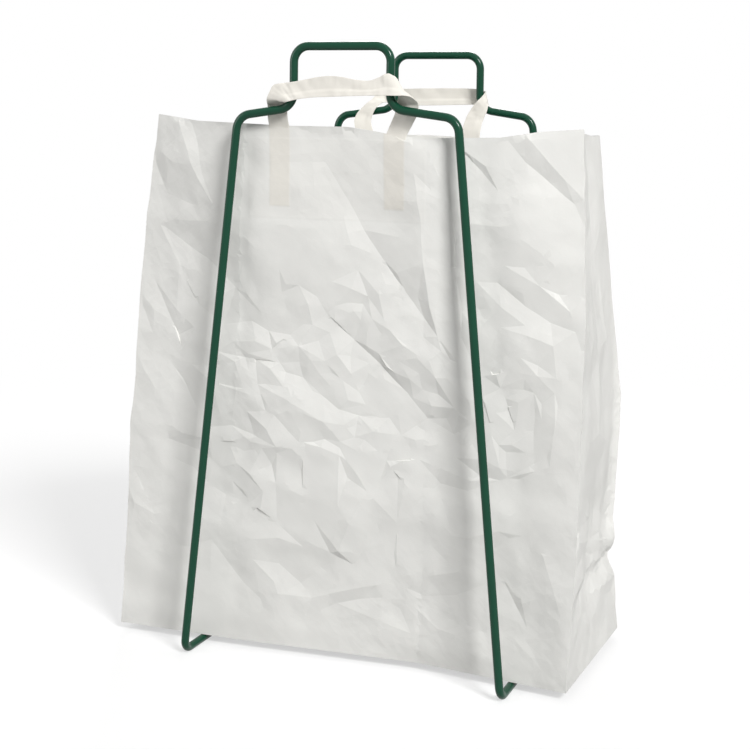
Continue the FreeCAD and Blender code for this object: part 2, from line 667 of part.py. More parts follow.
def shoulder_level(sheet, x, side, way):
    """Height of a shoulder's centre line at x, its bend into the neck included.

    side: -1 for the front frame; way: -1 for the shoulder at -X.
    """
    neck = way * sheet.neck_width / 2 + side * sheet.neck_shift
    root = Vector(neck, sheet.neck_root_height, 0)
    outer = Vector(way * sheet.shoulder_spread / 2, sheet.shoulder_height, 0)
    above = Vector(neck, sheet.rack_height, 0)
    bend, start, end = corner_arc(outer, root, above, sheet.neck_bend)
    if way * x >= way * start.x:
        share = (x - root.x) / (outer.x - root.x)
        return root.y + (outer.y - root.y) * share
    drop = sheet.neck_bend ** 2 - (x - bend.Center.x) ** 2
    return bend.Center.y - math.sqrt(max(drop, 0))


def strap_leg(sheet, side, way):
    """One leg of a strap, from its glued end up over the shoulder wire.

    Each station is the leg's outer edge and inner edge. The strap lies on the wire
    a little behind its top, and leaves it forwards and up.
    """
    middle = sheet.handle_middle + way * sheet.handle_spacing / 2
    half = sheet.strap_width / 2
    skin = sheet.strap_thickness / 2
    touch = sheet.wire_diameter / 2 + 2 * sheet.seat_gap + skin
    glued = panel_plane(sheet) - sheet.paper_wall - skin
    edge = mouth_level(sheet, max(zone_rims(side))) + 2 * sheet.seat_gap
    neck = way * sheet.neck_width / 2 + side * sheet.neck_shift
    beside = neck + way * (sheet.wire_diameter / 2 + STRAP_BESIDE_NECK)
    shift = max(0.0, way * (beside - (middle - way * half)))
    outer_x, inner_x = middle + way * (half + shift), middle + way * (shift - half)
    stations = []
    foot = mouth_level(sheet, 0) - sheet.strap_reach
    for level in (foot, edge - sheet.strap_width / 2, edge):
        stations.append((Vector(middle + way * half, side * glued, level),
                         Vector(middle - way * half, side * glued, level)))
    for behind, above in STRAP_LAY:
        edges = []
        for x in (outer_x, inner_x):
            level = shoulder_level(sheet, x, side, way)
            place = frame_face(sheet, level) - behind * touch
            edges.append(Vector(x, side * place, level + above * touch))
        stations.append(tuple(edges))
    return stations


def strap_stations(sheet, side):
    """A strap's two edges, station by station, from its left end to its right end."""
    left, right = strap_leg(sheet, side, -1), strap_leg(sheet, side, 1)
    face = frame_face(sheet, sheet.neck_root_height) + sheet.wire_diameter / 2
    out = face + 4 * sheet.seat_gap
    top = sheet.neck_root_height + STRAP_CROWN
    low = top - sheet.strap_width
    left_outer, right_outer = left[-1][0].x, right[-1][0].x
    span = right_outer - left_outer
    crossing = []
    for share, forward, rise, slant in STRAP_CROSSING:
        x = left_outer + span * share
        crossing.append((Vector(x, side * (out + forward), top + rise),
                         Vector(x + slant, side * (out + forward), low + rise)))
    return left + crossing + right[::-1]


def make_handle(doc, sheet, name, side):
    """A flat folded paper strap, as thick facets between its stations."""
    stations = strap_stations(sheet, side)
    middles = [(outer + inner) / 2 for outer, inner in stations]
    near, far = [], []
    for index, (outer, inner) in enumerate(stations):
        along = middles[min(index + 1, len(middles) - 1)] - middles[max(index - 1, 0)]
        square = along.cross(inner - outer).normalize() * (sheet.strap_thickness / 2)
        near.append((outer + square, inner + square))
        far.append((outer - square, inner - square))
    triangles = []

    def quad(one, two, three, four):
        triangles.append([one, two, three])
        triangles.append([one, three, four])

    for index in range(len(stations) - 1):
        n0, n1, f0, f1 = near[index], near[index + 1], far[index], far[index + 1]
        quad(n0[0], n1[0], n1[1], n0[1])
        quad(f0[0], f0[1], f1[1], f1[0])
        quad(n0[0], f0[0], f1[0], n1[0])
        quad(n0[1], n1[1], f1[1], f0[1])
    quad(near[0][0], near[0][1], far[0][1], far[0][0])
    quad(near[-1][0], far[-1][0], far[-1][1], near[-1][1])
    handle = doc.addObject("Part::Feature", name)
    handle.Label = name
    handle.Shape = solid_from(triangles)
    if handle.Shape.Volume < 0:
        handle.Shape = handle.Shape.reversed()
    return handle


def check(doc, pieces):
    """Stop if any object failed or any piece isn't one sound solid."""
    for item in doc.Objects:
        if "Invalid" in item.State or "Error" in item.State:
            raise ValueError(f"{item.Name} did not recompute: {item.State}")
    for piece in pieces:
        shape = piece.Shape
        if shape.isNull() or not shape.isValid() or len(shape.Solids) != 1:
            raise ValueError(f"{piece.Label} is not one valid solid")
        if shape.Volume <= 0:
            raise ValueError(f"{piece.Label} is inside out")


def main():
    doc = FreeCAD.newDocument("paper_bag_rack")
    sheet = make_sheet(doc)
    pieces = [
        make_wire_frame(doc, sheet),
        make_bag(doc, sheet),
        make_handle(doc, sheet, "front_handle", -1),
        make_handle(doc, sheet, "back_handle", 1),
        make_patch(doc, sheet, "front_patch", -1),
        make_patch(doc, sheet, "back_patch", 1),
    ]
    doc.recompute()
    check(doc, pieces)
    os.makedirs("parts", exist_ok=True)
    for piece in pieces:
        piece.Shape.exportStep(f"parts/{piece.Label}.step")
        box = piece.Shape.BoundBox
        print(f"{piece.Label}: {piece.Shape.Volume:.0f} mm3, {len(piece.Shape.Faces)} faces, "
              f"x {box.XMin:.1f}..{box.XMax:.1f} y {box.YMin:.1f}..{box.YMax:.1f} "
              f"z {box.ZMin:.1f}..{box.ZMax:.1f}")


main()
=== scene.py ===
import bisect
import math
import random

import bpy
from bpy.props import FloatProperty, FloatVectorProperty, PointerProperty
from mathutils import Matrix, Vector, noise
from mathutils.bvhtree import BVHTree
from mathutils.geometry import delaunay_2d_cdt


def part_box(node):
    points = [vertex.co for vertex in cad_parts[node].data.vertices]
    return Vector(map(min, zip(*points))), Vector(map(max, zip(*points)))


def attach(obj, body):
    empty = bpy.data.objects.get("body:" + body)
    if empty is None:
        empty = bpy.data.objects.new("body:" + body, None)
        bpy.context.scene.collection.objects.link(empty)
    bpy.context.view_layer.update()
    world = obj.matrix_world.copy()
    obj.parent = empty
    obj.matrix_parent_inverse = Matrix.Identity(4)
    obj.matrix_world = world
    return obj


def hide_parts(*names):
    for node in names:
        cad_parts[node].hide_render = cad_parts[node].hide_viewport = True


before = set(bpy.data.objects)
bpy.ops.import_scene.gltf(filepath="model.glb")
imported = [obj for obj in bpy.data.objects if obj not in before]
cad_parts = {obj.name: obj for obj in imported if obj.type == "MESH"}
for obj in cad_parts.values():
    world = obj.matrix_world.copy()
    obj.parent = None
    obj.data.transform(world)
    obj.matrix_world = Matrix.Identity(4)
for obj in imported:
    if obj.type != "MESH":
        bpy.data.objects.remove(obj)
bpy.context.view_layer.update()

bl_info = {
    "name": "Paper bag rack",
    "version": (1, 0, 0),
    "blender": (4, 5, 0),
    "location": "3D View > Sidebar > Bag rack",
    "description": "Coats the wire rack and dresses it with its creased paper bag and straps",
    "category": "Object",
}

# Points and heights of paper are written in millimetres
MM = 0.001

# Where the camera stands, how it is turned, its lens and sensor in mm, and its reach in metres
CAMERA_PLACE = (0.40566, -1.08938, 0.41588)
CAMERA_TURN = (79.9647, -0.6617, 21.0787)
CAMERA_LENS = 72.817
CAMERA_SENSOR = 36
CAMERA_REACH = 20

# Share of the depths in the lists of folds to which they are pressed in
FOLD_DEPTH = 0.54

# Share of the random folds that stay crisp where the paper is half crumpled, the part of it
# that is left where it is calm, and how often the paper between them is eased
CRISP_SHARE = 0.6
CRISP_CALM = 0.5
EASE_TIMES = 1

# Spacing of random facets in mm where the paper is calm and where it is crumpled, that of the
# finest ones, and how steep the first two stand
WIDE_FACET = 23.0
BUSY_FACET = 9.0
FINE_FACET = 9.0
CALM_SLOPE = 0.07
BUSY_SLOPE = 0.125

# How steep the finest facets stand, and by how much more where the paper is crumpled
FINE_SLOPE = 0.03
FINE_SLOPE_MORE = 0.03

# How often a random facet corner is tried, and how near to folds and edges it may lie as a
# share of the spacing there
FACET_TRIES = 5200
FINE_TRIES = 9000
NEAR_FOLD = 0.55

# Spacing in mm of still points along a panel's edges and of loose ones along its rim, how far
# the loose ones keep from other points, and how far facets keep from the edges
BORDER_STEP = 22
RIM_STEP = 34
RIM_CLEAR = 12
EDGE_CLEAR = 5

# Small dents of the upright folds: size and spacing in mm, where along the fold no more begin
# and where the last one lies at most
KINK_SIZE = 0.55
KINK_SPACING = (9, 24)
KINK_LAST = 0.93
KINK_END = 0.95

# Grid on which a CAD panel is read, how often it is evened out, and the weight that a place
# and each of its four neighbours have in that
REST_COLUMNS = 26
REST_ROWS = 28
WIDE_CALM = 9
SIDE_CALM = 2
REST_WEIGHT = 0.4
BESIDE_WEIGHT = 0.15

# Share that a height keeps when it is eased
EASE_KEEP = 0.35

# From where rays are cast at a panel, in mm
RAY_START = 60

# How squarely a CAD triangle faces its side, and how far out in mm it lies on panels and base
SKIN_FACING = 0.45
SKIN_OUTSIDE = 30
BASE_OUTSIDE = -20

# Mesh of a panel in shares of its spacing: height of a row, play of a point, and how near
# points may come to others, to other ones on a crease, and to the edge
ROW_STEP = 0.87
PLAY = 0.22
CROWDED = 0.68
CREASE_CROWDED = 0.25
EDGE_CROWDED = 0.4

# Pucker of the base in mm, and the play of its points
BASE_PUCKER = 0.35
BASE_PLAY = 0.2

# Points of neighbouring panels nearer than this, in metres, become one
WELD = 0.00005

# Points of one sheet nearer than this, in mm, become one, and which triangles are wanted of it:
# all between its points, or those inside its edges
SAME_PLACE = 1e-4
ALL_TRIANGLES = 0
INSIDE_EDGES = 1

# Seeds of the upright folds' dents, of the panels' meshes (both counted up) and of the base
DENT_SEED = 40
MESH_SEED = 70
BASE_SEED = 90

# Most faces that the bag may have
BAG_FACE_LIMIT = 199000

# Angles in degrees above which an edge stays sharp
PAPER_ANGLE = 5
STRAP_ANGLE = 38
PATCH_ANGLE = 40

# Where a panel is most crumpled: across, up, reach across, reach up (all shares) and strength
FRONT_BUSY = ((0.62, 0.53, 0.26, 0.2, 1), (0.3, 0.5, 0.16, 0.12, 0.8), (0.88, 0.48, 0.1, 0.26, 0.9),
              (0.55, 0.12, 0.18, 0.07, 0.6), (0.88, 0.86, 0.12, 0.07, 0.5),
              (0.42, 0.7, 0.2, 0.09, 0.6), (0.3, 0.3, 0.2, 0.12, 0.5), (0.1, 0.6, 0.08, 0.25, 0.5))
BACK_BUSY = ((0.42, 0.45, 0.28, 0.2, 1), (0.75, 0.6, 0.15, 0.15, 0.7), (0.3, 0.14, 0.15, 0.08, 0.6))
SIDE_BUSY = ((0.5, 0.2, 0.5, 0.14, 0.8), (0.4, 0.6, 0.4, 0.15, 0.5))

# The strap's glued ends and the patch over them, seen through the paper
STRAP_ENDS = ((-61.4, -45.7), (26.4, 42.0))
STRAP_FOOT = 344.5
PATCH_SPAN = (-78.0, 58.0)
PATCH_FOOT = 336.0
PATCH_HEIGHT = 57.0

# Where the strap's ends stop at the top as seen through the paper, the softness of the outlines
# in metres, the tint against the strap's colour, and how strongly each shows and stands out
WINDOW_TOP = 410.0
WINDOW_SOFTNESS = 0.0016
WINDOW_TINT = 0.93
END_SHOWS = (0.85, 0.9)
END_LIFT = 0.22
PATCH_SHOWS = 0.06
PATCH_LIFT = 0.16

# Glue between two layers of paper, from where and over what height the straps lean off the
# bag, and up to where the bag's face is read for them, in mm
GLUE_GAP = 0.06
LEAN_FROM = 394.0
LEAN_OVER = 12.0
READ_TO = 392.0

# From where in mm a ray is cast at the bag's outside, how far it goes in metres, and at how many
# heights, each 1 mm lower, it is tried
FACE_START = 150
FACE_REACH = 0.1
FACE_TRIES = 12

# Fine crumple of the paper's surface: scale, depth and turn of each layer, how far its lines
# wander in metres, and the depth of its fibre
CRUMPLES = ((34, 1.7, (0.5, 0.3, 0.6)), (82, 0.6, (0.2, 0.9, 0.4)))
CRUMPLE_WANDER = 0.008
FIBRE_DEPTH = 0.09

# White of the background, the floor's glow towards the camera, and from where to where in
# metres the floor fades into the background
WHITE = (1, 1, 1, 1)
FLOOR_GLOW = 0.55
FADE_FROM = 0.45
FADE_TO = 1.3

# Waves of a free strap: along per mm, across per strap width, and height in mm
SOFT_WAVE = (0.16, 1.6, 0.55)
WRINKLE_WAVE = (0.42, 0.9, 0.32)

# How much a strap wrinkles at its upper edge (at its lower edge it is 1 less), its crown in mm,
# and its inner fold's step in mm and place across
WRINKLE_UPPER = 1.25
STRAP_CROWN = 0.45
INNER_STEP = 0.5
INNER_FOLD = 0.66

# Mesh of a strap between two stations and across, and from what height and over what length it
# hangs free and wrinkles
STRAP_PIECES = 6
STRAP_COLUMNS = 14
WRINKLE_FROM = 396
WRINKLE_OVER = 14

# Bevel of a strap's edges: width as a share of its thickness, segments, and the angle in degrees
# from which an edge gets it
BEVEL_SHARE = 0.3
BEVEL_SEGMENTS = 2
BEVEL_ANGLE = 50

# Divisions of a patch
PATCH_DIVISIONS = (46, 20)

# How strong the fine crumple is on each kind of paper, and a patch's shade against the bag
BAG_CRUMPLE = 1.0
STRAP_CRUMPLE = 0.35
PATCH_CRUMPLE = 0.4
PATCH_SHADE = 0.99

# Darkest and lightest shade of the paper's and of the coat's colour, and the height in metres of
# the paper's relief and of the coat's orange peel
PAPER_SHADES = (0.975, 1.02)
COAT_SHADES = (0.86, 1.16)
PAPER_RELIEF = 0.0004
PEEL_RELIEF = 0.00006

# Lamps by name: place, size and the setting that holds the power; all point at LAMP_AIM
LAMPS = (("back_lamp", (-0.7, 2.0, 1.3), 0.8, "back_power"),
         ("right_lamp", (2.74, -2.38, 2.96), 1.2, "key_power"),
         ("left_lamp", (-1.75, -1.3, 0.95), 0.9, "fill_power"),
         ("top_lamp", (0.2, 0.1, 2.1), 1.2, "top_power"))
LAMP_AIM = (0, 0, 0.22)

# How the mouth's edge stands off the straight: across in percent, height in mm
FRONT_RIM = [(0, 1.5), (4.5, .7), (12, -1.1), (27, 0), (35, .3), (50, 2.8), (56, 1.3), (61, -.9),
             (72, -.8), (83, -1.6), (91, 1.6), (100, 2.5)]
BACK_RIM = [(0, 0), (14, 1.2), (30, -.4), (52, .8), (70, -.6), (88, 2.5), (100, 5.5)]
RIGHT_RIM = [(0, 2.5), (22, 2), (50, 3.6), (78, 3.4), (100, 5.5)]
LEFT_RIM = [(0, 1.5), (22, -1), (50, .6), (78, -1.1), (100, 0)]

# The same for the bag's upright folds: up in percent, and how far in mm the line is drawn up or
# moved to the right there
UPRIGHT_RISES = {("front", "right"): [(0, 0), (88, 0), (100, 2.5)],
                 ("back", "right"): [(0, 0), (85, 0), (100, 5.5)],
                 ("front", "left"): [(0, 0), (94, 0), (100, 1.5)]}
UPRIGHT_SWAYS = {("back", "right"): [(0, 0), (9, 0), (12, 0.5), (14.5, -3.4), (15.7, -4.4),
                                     (16.6, -3.2), (17.8, 2), (20, 4.6), (28, 6.5), (38, 6),
                                     (48, 4.2), (62, 1.5), (75, 0), (100, -2)]}

# Folds pressed into the front panel: across in percent from its left fold, up in percent
# from the base, and how far the paper stands out there in mm before FOLD_DEPTH
FRONT_FOLDS = [
    # Long valley down from the middle of the mouth, and the ridge right of it
    [(40, 100, -1.5), (45, 94, -3.2), (50, 88, -4.2), (54, 82.5, -4.8), (58, 78, -4.8),
     (63, 72.5, -4.2), (67, 68, -3)],
    [(62.5, 100, 2.5), (65, 94, 3), (66.5, 86, 3.5), (67.2, 78, 3.2), (68.5, 70, 2.5)],
    [(71.5, 100, 0), (73, 88, -1), (74, 75, -1.8), (74.5, 60, -1)],
    # Step under the patch, and the swell below it
    [(27, 84.5, .3), (33, 84, .2), (40, 84, .1), (46, 84, -.8), (49.5, 84.5, -2.2)],
    [(27, 79.5, 1.4), (34, 78.5, 1.8), (41, 79, 1.6), (47, 79, .8), (51.5, 79.5, -.6)],
    # Left of the left leg
    [(6, 100, 2.5), (12, 92, 3), (19, 84.5, 2)],
    [(1, 91, -1), (5, 86, -1.2)],
    [(18.5, 97, -1)],
    [(1, 81, .5), (8, 81.5, 1.2), (17, 82, 1)],
    [(6, 79.5, 0), (12, 77, -2), (18, 74.5, -3), (25, 70, -3), (32, 65, -2)],
    [(1, 75, -.6), (4, 69, -1), (9, 62, -1.2), (12, 57, -.4)],
    [(4, 80, 1), (10, 73, 1), (16, 66, .8), (17.5, 58, .6)],
    [(1, 64, -1.2), (4, 59, -1.5), (5, 55, -.5)],
    [(2, 52, 1), (7, 47, 1.2), (13, 43.5, .6)],
    [(8, 55, -1), (14, 49, -1.6), (17, 45, -1)],
    # Middle: the curved edge, the zigzag and the short sharp crease under it
    [(27, 80, 1.3), (31.5, 76.5, 2.6), (35.5, 74.3, 2.2), (37, 71.5, 1)],
    [(23, 76, -1.6), (28, 69, -1.2)],
    [(40, 71.5, 1), (44, 69.5, -.5), (48, 68, -1.5), (51.5, 71.5, .8), (55, 70.5, -1.5),
     (57.5, 71.3, .6), (61, 69, -2), (65.5, 67.6, -2.4)],
    [(34, 59, -1.6), (38, 62, -1.6), (41, 64.2, -.6)],
    # Bright band falling to the right, with its valley above and its ridge below
    [(21, 57.5, -1), (28, 57, -1.5), (36, 56.5, -2), (41, 54, -3), (45, 51, -3), (49, 48.5, -2),
     (60, 48.3, -1.5)],
    [(35, 60.3, .4), (40, 60, 1.4), (46, 57.5, 1.6), (50, 54, 1.2), (51, 50.5, .4)],
    [(20, 51.5, 1), (28, 51, 1.5), (38, 49.5, 2), (46, 46, 2.4), (48, 44.3, 2.2)],
    [(28.5, 57.8, .2), (31, 52, -.4), (33, 47, -1)],
    # Dark slanting band to the right leg, and the bright facets above it
    [(46, 66.5, -1.8), (52, 62, -2.4), (58, 58, -3), (63, 54, -3), (68, 49, -3), (74, 46.5, -2),
     (78, 45, -1)],
    [(56, 66.5, .6), (60, 65, 1.6), (66, 61, 2.6), (70, 57, 2.5), (74, 51.5, 1.5), (78, 49, 1)],
    [(63, 66, -.8), (67, 64.5, -.4), (71, 62, .4)],
    [(57.5, 60.2, .4), (61, 57.2, .2)],
    [(66, 60.5, 2.7), (66.5, 57.5, 1), (67, 54.5, -.6)],
    # Right of the right leg, from the mouth down
    [(84, 100, -1), (88, 95.5, -2.5), (93, 91.5, -2.5), (98, 88, -1)],
    [(88, 100, 2), (92, 96, 2.5), (96, 92, 2), (99, 89.5, .5)],
    [(75.5, 97.5, -.8), (79, 94.5, -2.2), (82.5, 91, -1)],
    [(76, 97.6, 1.2), (80, 95.3, .6)],
    [(76, 85.5, 2), (83, 85, 2.7), (90, 85.5, 2.7), (95, 82.5, 2), (99, 80, .5)],
    [(82, 87, 1.4), (82.7, 89, .2)],
    [(82.5, 75, -1), (88, 70.5, -2), (93, 67.5, -2), (98, 66, -.5)],
    [(84, 78, 1), (91, 74, 1.6), (97, 69.5, 1)],
    [(78, 66, 1.6), (83, 67, 1.6), (88, 67.2, 1)],
    [(80, 58, .5), (85, 59, 1.6), (91, 58, 1.6), (97, 56, 1)],
    [(90.3, 55, -1), (90.4, 48, -2), (90.8, 42, -1.4)],
    [(94.5, 55, 1), (94.6, 48, 1.6), (94, 41.5, 1)],
    [(79.8, 54, 1.6), (82, 47, 1.7), (84, 41, .5)],
    [(84.5, 54, -.5), (86.5, 48, -1)],
    [(85, 44, -1), (86, 36, -1)],
    [(77.5, 36, .4), (80, 32, 2), (84, 29, 2.6), (89, 28.5, 2), (92, 27, 1)],
    [(83.5, 25.5, -.8), (85, 20, -1.6), (91, 11, -1.6), (95, 7, -.6)],
    [(93.5, 25, 1.8), (96, 18.5, 2), (99, 11, .5)],
    # Old fold across the panel, and the knot where it meets the bright band
    [(1, 41.5, .6), (4, 39.5, .9), (10, 39, -1), (20, 40, .8), (30, 40.6, -.8), (36, 40.2, .8),
     (41, 41.6, -.4), (46, 41, 1.6), (50, 41.2, -.4), (54, 41, 1.2), (60, 40, -1.4), (67, 41, .8),
     (78, 38, 1.5), (84, 38.6, -.4), (92, 41, .5)],
    [(45, 44.6, .8), (46.5, 42.6, -.8), (48.4, 44, 1.6), (50, 42.4, -.2)],
    [(50.5, 45.6, 1.2), (53, 43.6, -.4), (57, 45.2, 1.4), (60.3, 41.4, -1.8)],
    # Lower middle: the upright fold, its streaks and the low crease
    [(50, 39.8, 1.4), (49.8, 30, 2.6), (50, 20.8, 2.2)],
    [(51.5, 39, 1), (54, 36.4, 1.4), (56, 33.5, .4)],
    [(61, 39, 1.4), (64, 36.2, 1.4), (67, 33, .4)],
    [(62.6, 37, -.6), (62.5, 28, -1.1), (62.6, 17.5, -1)],
    [(36, 39, -1), (35.8, 33, -1)],
    [(42, 38, .6), (42, 31, .8)],
    [(43, 22, .5), (48, 20.2, -1), (53, 18.4, -1.6)],
    [(46.5, 8.2, -1.5), (50, 10, -1.9), (55, 11.5, -1.9), (60, 12.5, -1.2), (62.5, 14.8, -.4)],
    [(49, 12, .8), (54, 13.6, 1), (59, 15, .6)],
    [(65, 15.2, -.6), (69, 14, -1.1), (73, 10.5, -1.6), (79, 9.5, -1.6), (85, 8, -1)],
    [(67, 11.5, .8), (72, 8, 1), (80, 6.6, .6)],
    [(72, 34, 1), (74.5, 27, 1.2), (76, 20, .8)],
    # Lower left
    [(21, 36, -1), (25, 33, -1.6), (30, 28.5, -1.6), (36, 25, -1.2), (42, 20.8, -.6)],
    [(27, 36, .8), (33, 31, 1)],
    [(21, 20, -.6), (25, 16, -1.4), (29, 12, -1.4), (33, 9, -1), (34.4, 5, -.4)],
    [(26, 22, .8), (31, 17, 1), (36, 13, .6)],
    [(1, 21, .6), (7, 23.4, 1.1), (8.6, 21.4, -.6), (12.5, 25, .6)],
    [(4, 19.8, -.6), (10, 18.4, -1), (15, 14.5, -.6)],
    [(37, 10.5, .8), (40, 6.5, -.6), (44.5, 10.5, -.8)],
    [(28.5, 8, .8), (30, 3.4, -.6)],
]

# Folds of a side panel: across from its front fold; the gusset's crease and the triangle of
# the folded base come from how the bag was packed flat
SIDE_FOLDS = [
    [(50, 100, -1.5), (50.5, 88, -2.5), (49.5, 74, -1), (50, 60, .8), (50.4, 45, .8), (50, 32, -1),
     (50, 21.5, -3)],
    [(2, 1.2, 0), (14, 6.5, -.8), (26, 11.5, -1), (38, 16.5, -1.8), (50, 21.5, -3)],
    [(98, 1.2, 0), (86, 5.2, -.8), (74, 9.8, -1), (62, 15, -1.8), (50, 21.5, -3)],
    [(1, 26.2, 1.5), (16, 25, 1.5), (34, 23.4, 0), (50, 21.5, -3), (68, 20, -1.5), (84, 18.2, -1),
     (98, 16.6, -1.5)],
    [(2, 28, 2.5), (30, 26, 2), (60, 23, 1.5), (97, 19.5, 1.5)],
    [(10, 41, .6), (26, 39, -.8), (42, 40.6, .6), (60, 39, -1), (78, 41.4, .8), (92, 40, -.4)],
    [(22, 96, 1), (30, 86, 2), (24, 74, -1), (33, 64, 1)],
    [(70, 97, -1.4), (78, 86, 1.6), (70, 76, -1), (80, 62, 1.4), (72, 54, -.6)],
    [(14, 66, 1.2), (24, 56, -1.4), (34, 50, 1)],
    [(64, 34, 1.2), (78, 30, -.8), (90, 34, .6)],
    [(18, 32, -.8), (34, 30, 1)],
    [(40, 8, .8), (52, 6, -.6), (62, 9, .6)],
]

# The front strap, station by station from its left glued end: its outer and its inner edge,
# which are the upper and the lower edge where it crosses in front of the neck
FRONT_STRAP = [
    ((-61.3, -86.95, 344), (-45.7, -86.95, 344)),
    ((-61.3, -86.95, 372), (-45.7, -86.95, 372)),
    ((-61.4, -87.0, 393), (-45.8, -87.0, 393)),
    ((-61.6, -88.4, 402), (-46, -88.4, 402)),
    ((-61.6, -90.2, 409), (-46, -90.4, 410.5)),
    ((-61, -91.6, 415.6), (-46, -91.6, 417.4)),
    ((-59.8, -95.4, 418.0), (-45.3, -95.8, 419.4)),
    ((-58.4, -98.8, 418.9), (-44, -99.4, 418.8)),
    ((-57.4, -100.2, 421.5), (-43, -100.9, 418.2)),
    ((-54.9, -100.6, 426), (-41.5, -101.3, 418.4)),
    ((-52.2, -100.6, 430), (-39.5, -101.4, 418.9)),
    ((-45.5, -100.3, 431.4), (-36.5, -101.2, 419.6)),
    ((-38.4, -100.2, 432.2), (-32, -101.1, 420.4)),
    ((-30, -100.4, 433.6), (-26, -101.2, 421.2)),
    ((-20, -100.9, 435.4), (-18, -101.3, 421.8)),
    ((-10.2, -101.1, 436.4), (-9.5, -101.4, 422.1)),
    ((0, -101.1, 435.8), (0.5, -101.4, 422.5)),
    ((10, -100.9, 434.0), (10.5, -101.3, 422.9)),
    ((20, -100.4, 433.4), (20.5, -101.2, 423.2)),
    ((27, -100.0, 435.8), (28, -101.1, 423.3)),
    ((33, -99.8, 438.3), (34, -101, 423.3)),
    ((36.4, -99, 437.2), (40, -101, 423.2)),
    ((38.5, -97, 435.4), (45.5, -100, 423)),
    ((39.3, -94.6, 432.6), (50, -96.9, 421.4)),
    ((38.9, -92.2, 428.4), (52.6, -93.2, 418.4)),
    ((38, -90.9, 422.5), (52.6, -91.2, 414)),
    ((36.6, -90.3, 415.5), (51.2, -90.6, 409.5)),
    ((33.8, -89.6, 408), (48.2, -89.9, 404)),
    ((30, -88.1, 401), (45, -88.5, 399)),
    ((27, -87.0, 393), (42.6, -87.0, 392.5)),
    ((26.6, -86.95, 376), (42.2, -86.95, 376)),
    ((26.6, -86.95, 344), (42.2, -86.95, 344)),
]

# The back strap, the same way round
BACK_STRAP = [
    ((-61.3, 86.95, 344), (-45.7, 86.95, 344)),
    ((-61.5, 86.95, 376), (-45.9, 86.95, 376)),
    ((-64, 87.3, 394), (-48.5, 87.3, 393)),
    ((-66.6, 89, 403.6), (-51.6, 89, 403)),
    ((-65, 90.4, 410.3), (-51.3, 90.4, 408)),
    ((-59.7, 91.3, 416), (-48.8, 91.2, 414)),
    ((-54, 93.4, 421.2), (-44.5, 93.6, 418.6)),
    ((-50, 96.4, 426), (-40.5, 97.6, 419)),
    ((-45, 99, 429), (-38, 100.3, 417.8)),
    ((-38, 100.9, 430.2), (-34, 100.6, 417.3)),
    ((-26, 101.8, 430.6), (-25, 100.6, 417.2)),
    ((-10, 102.2, 431), (-9, 100.6, 417.2)),
    ((8, 102.2, 431.2), (8, 100.6, 417.6)),
    ((22, 101.8, 431.2), (21, 100.5, 418)),
    ((33, 100.8, 430.8), (31, 100.5, 418.2)),
    ((38, 99.6, 430.1), (37, 100.6, 418.2)),
    ((42.8, 97.8, 429), (41.5, 100, 418.2)),
    ((43.5, 95.2, 428.2), (45, 98.6, 418)),
    ((43.2, 92.4, 426.3), (46.6, 95.8, 418.6)),
    ((41, 90.8, 423.6), (47.2, 92.2, 417.6)),
    ((37.2, 90.2, 419.6), (46.6, 90.7, 413.2)),
    ((33, 90, 414), (45, 90.3, 409.3)),
    ((29.9, 89.3, 408), (43.6, 89.5, 404.5)),
    ((28, 88.1, 401), (42.8, 88.1, 399)),
    ((26.8, 87.05, 393), (42.3, 87.05, 392.5)),
    ((26.6, 86.95, 376), (42.2, 86.95, 376)),
    ((26.6, 86.95, 344), (42.2, 86.95, 344)),
]


def colour_property(name, description, default):
    """A colour that the sidebar shows."""
    return FloatVectorProperty(name=name, description=description, default=default, size=3,
                               min=0, max=1, subtype="COLOR")


def power_property(name, description, default):
    """A lamp's power that the sidebar shows."""
    return FloatProperty(name=name, description=description, default=default, min=0,
                         unit="POWER")


def length_property(name, description, default):
    """A length that the sidebar shows."""
    return FloatProperty(name=name, description=description, default=default, min=0,
                         unit="LENGTH", precision=5)


class RackSettings(bpy.types.PropertyGroup):
    """Sizes and colours that a user would change."""
    wire_colour: colour_property("Wire", "Powder coat of the wire", (0.0022, 0.052, 0.026))
    paper_colour: colour_property("Paper", "White kraft paper of the bag", (0.80, 0.795, 0.765))
    strap_colour: colour_property("Strap", "Folded paper of the straps", (0.83, 0.80, 0.735))
    floor_colour: colour_property("Floor", "Plain pale floor", (0.45, 0.45, 0.45))
    front_mesh: length_property("Front mesh", "Spacing of points on the front panel", 0.0034)
    other_mesh: length_property("Other mesh", "Spacing of points on the other panels", 0.0045)
    base_mesh: length_property("Base mesh", "Spacing of points on the base", 0.0075)
    paper_thickness: length_property("Paper thickness", "Thickness of the bag's paper", 0.0003)
    strap_thickness: length_property("Strap thickness", "Thickness of a folded strap", 0.0006)
    patch_thickness: length_property("Patch thickness", "Thickness of a patch", 0.0004)


class StudioSettings(bpy.types.PropertyGroup):
    """Lamps and floor around the rack."""
    key_power: power_property("Right lamp", "Soft box at the right, in watts", 197)
    fill_power: power_property("Left lamp", "Soft box at the left, in watts", 13)
    top_power: power_property("Top lamp", "Soft box above, in watts", 3)
    back_power: power_property("Back lamp", "Soft box behind, in watts", 22)
    sky: FloatProperty(name="Sky", description="Even light from all round", default=0.14, min=0)
    floor_size: length_property("Floor size", "Side of the square floor", 8.0)


def deselect_all():
    """Nothing selected and nothing active, so that an operator finds only the new piece."""
    if bpy.context.object and bpy.context.object.mode != "OBJECT":
        bpy.ops.object.mode_set(mode="OBJECT")
    bpy.ops.object.select_all(action="DESELECT")
    bpy.context.view_layer.objects.active = None


def select_only(piece):
    """Make one piece the selected and active one."""
    deselect_all()
    piece.select_set(True)
    bpy.context.view_layer.objects.active = piece


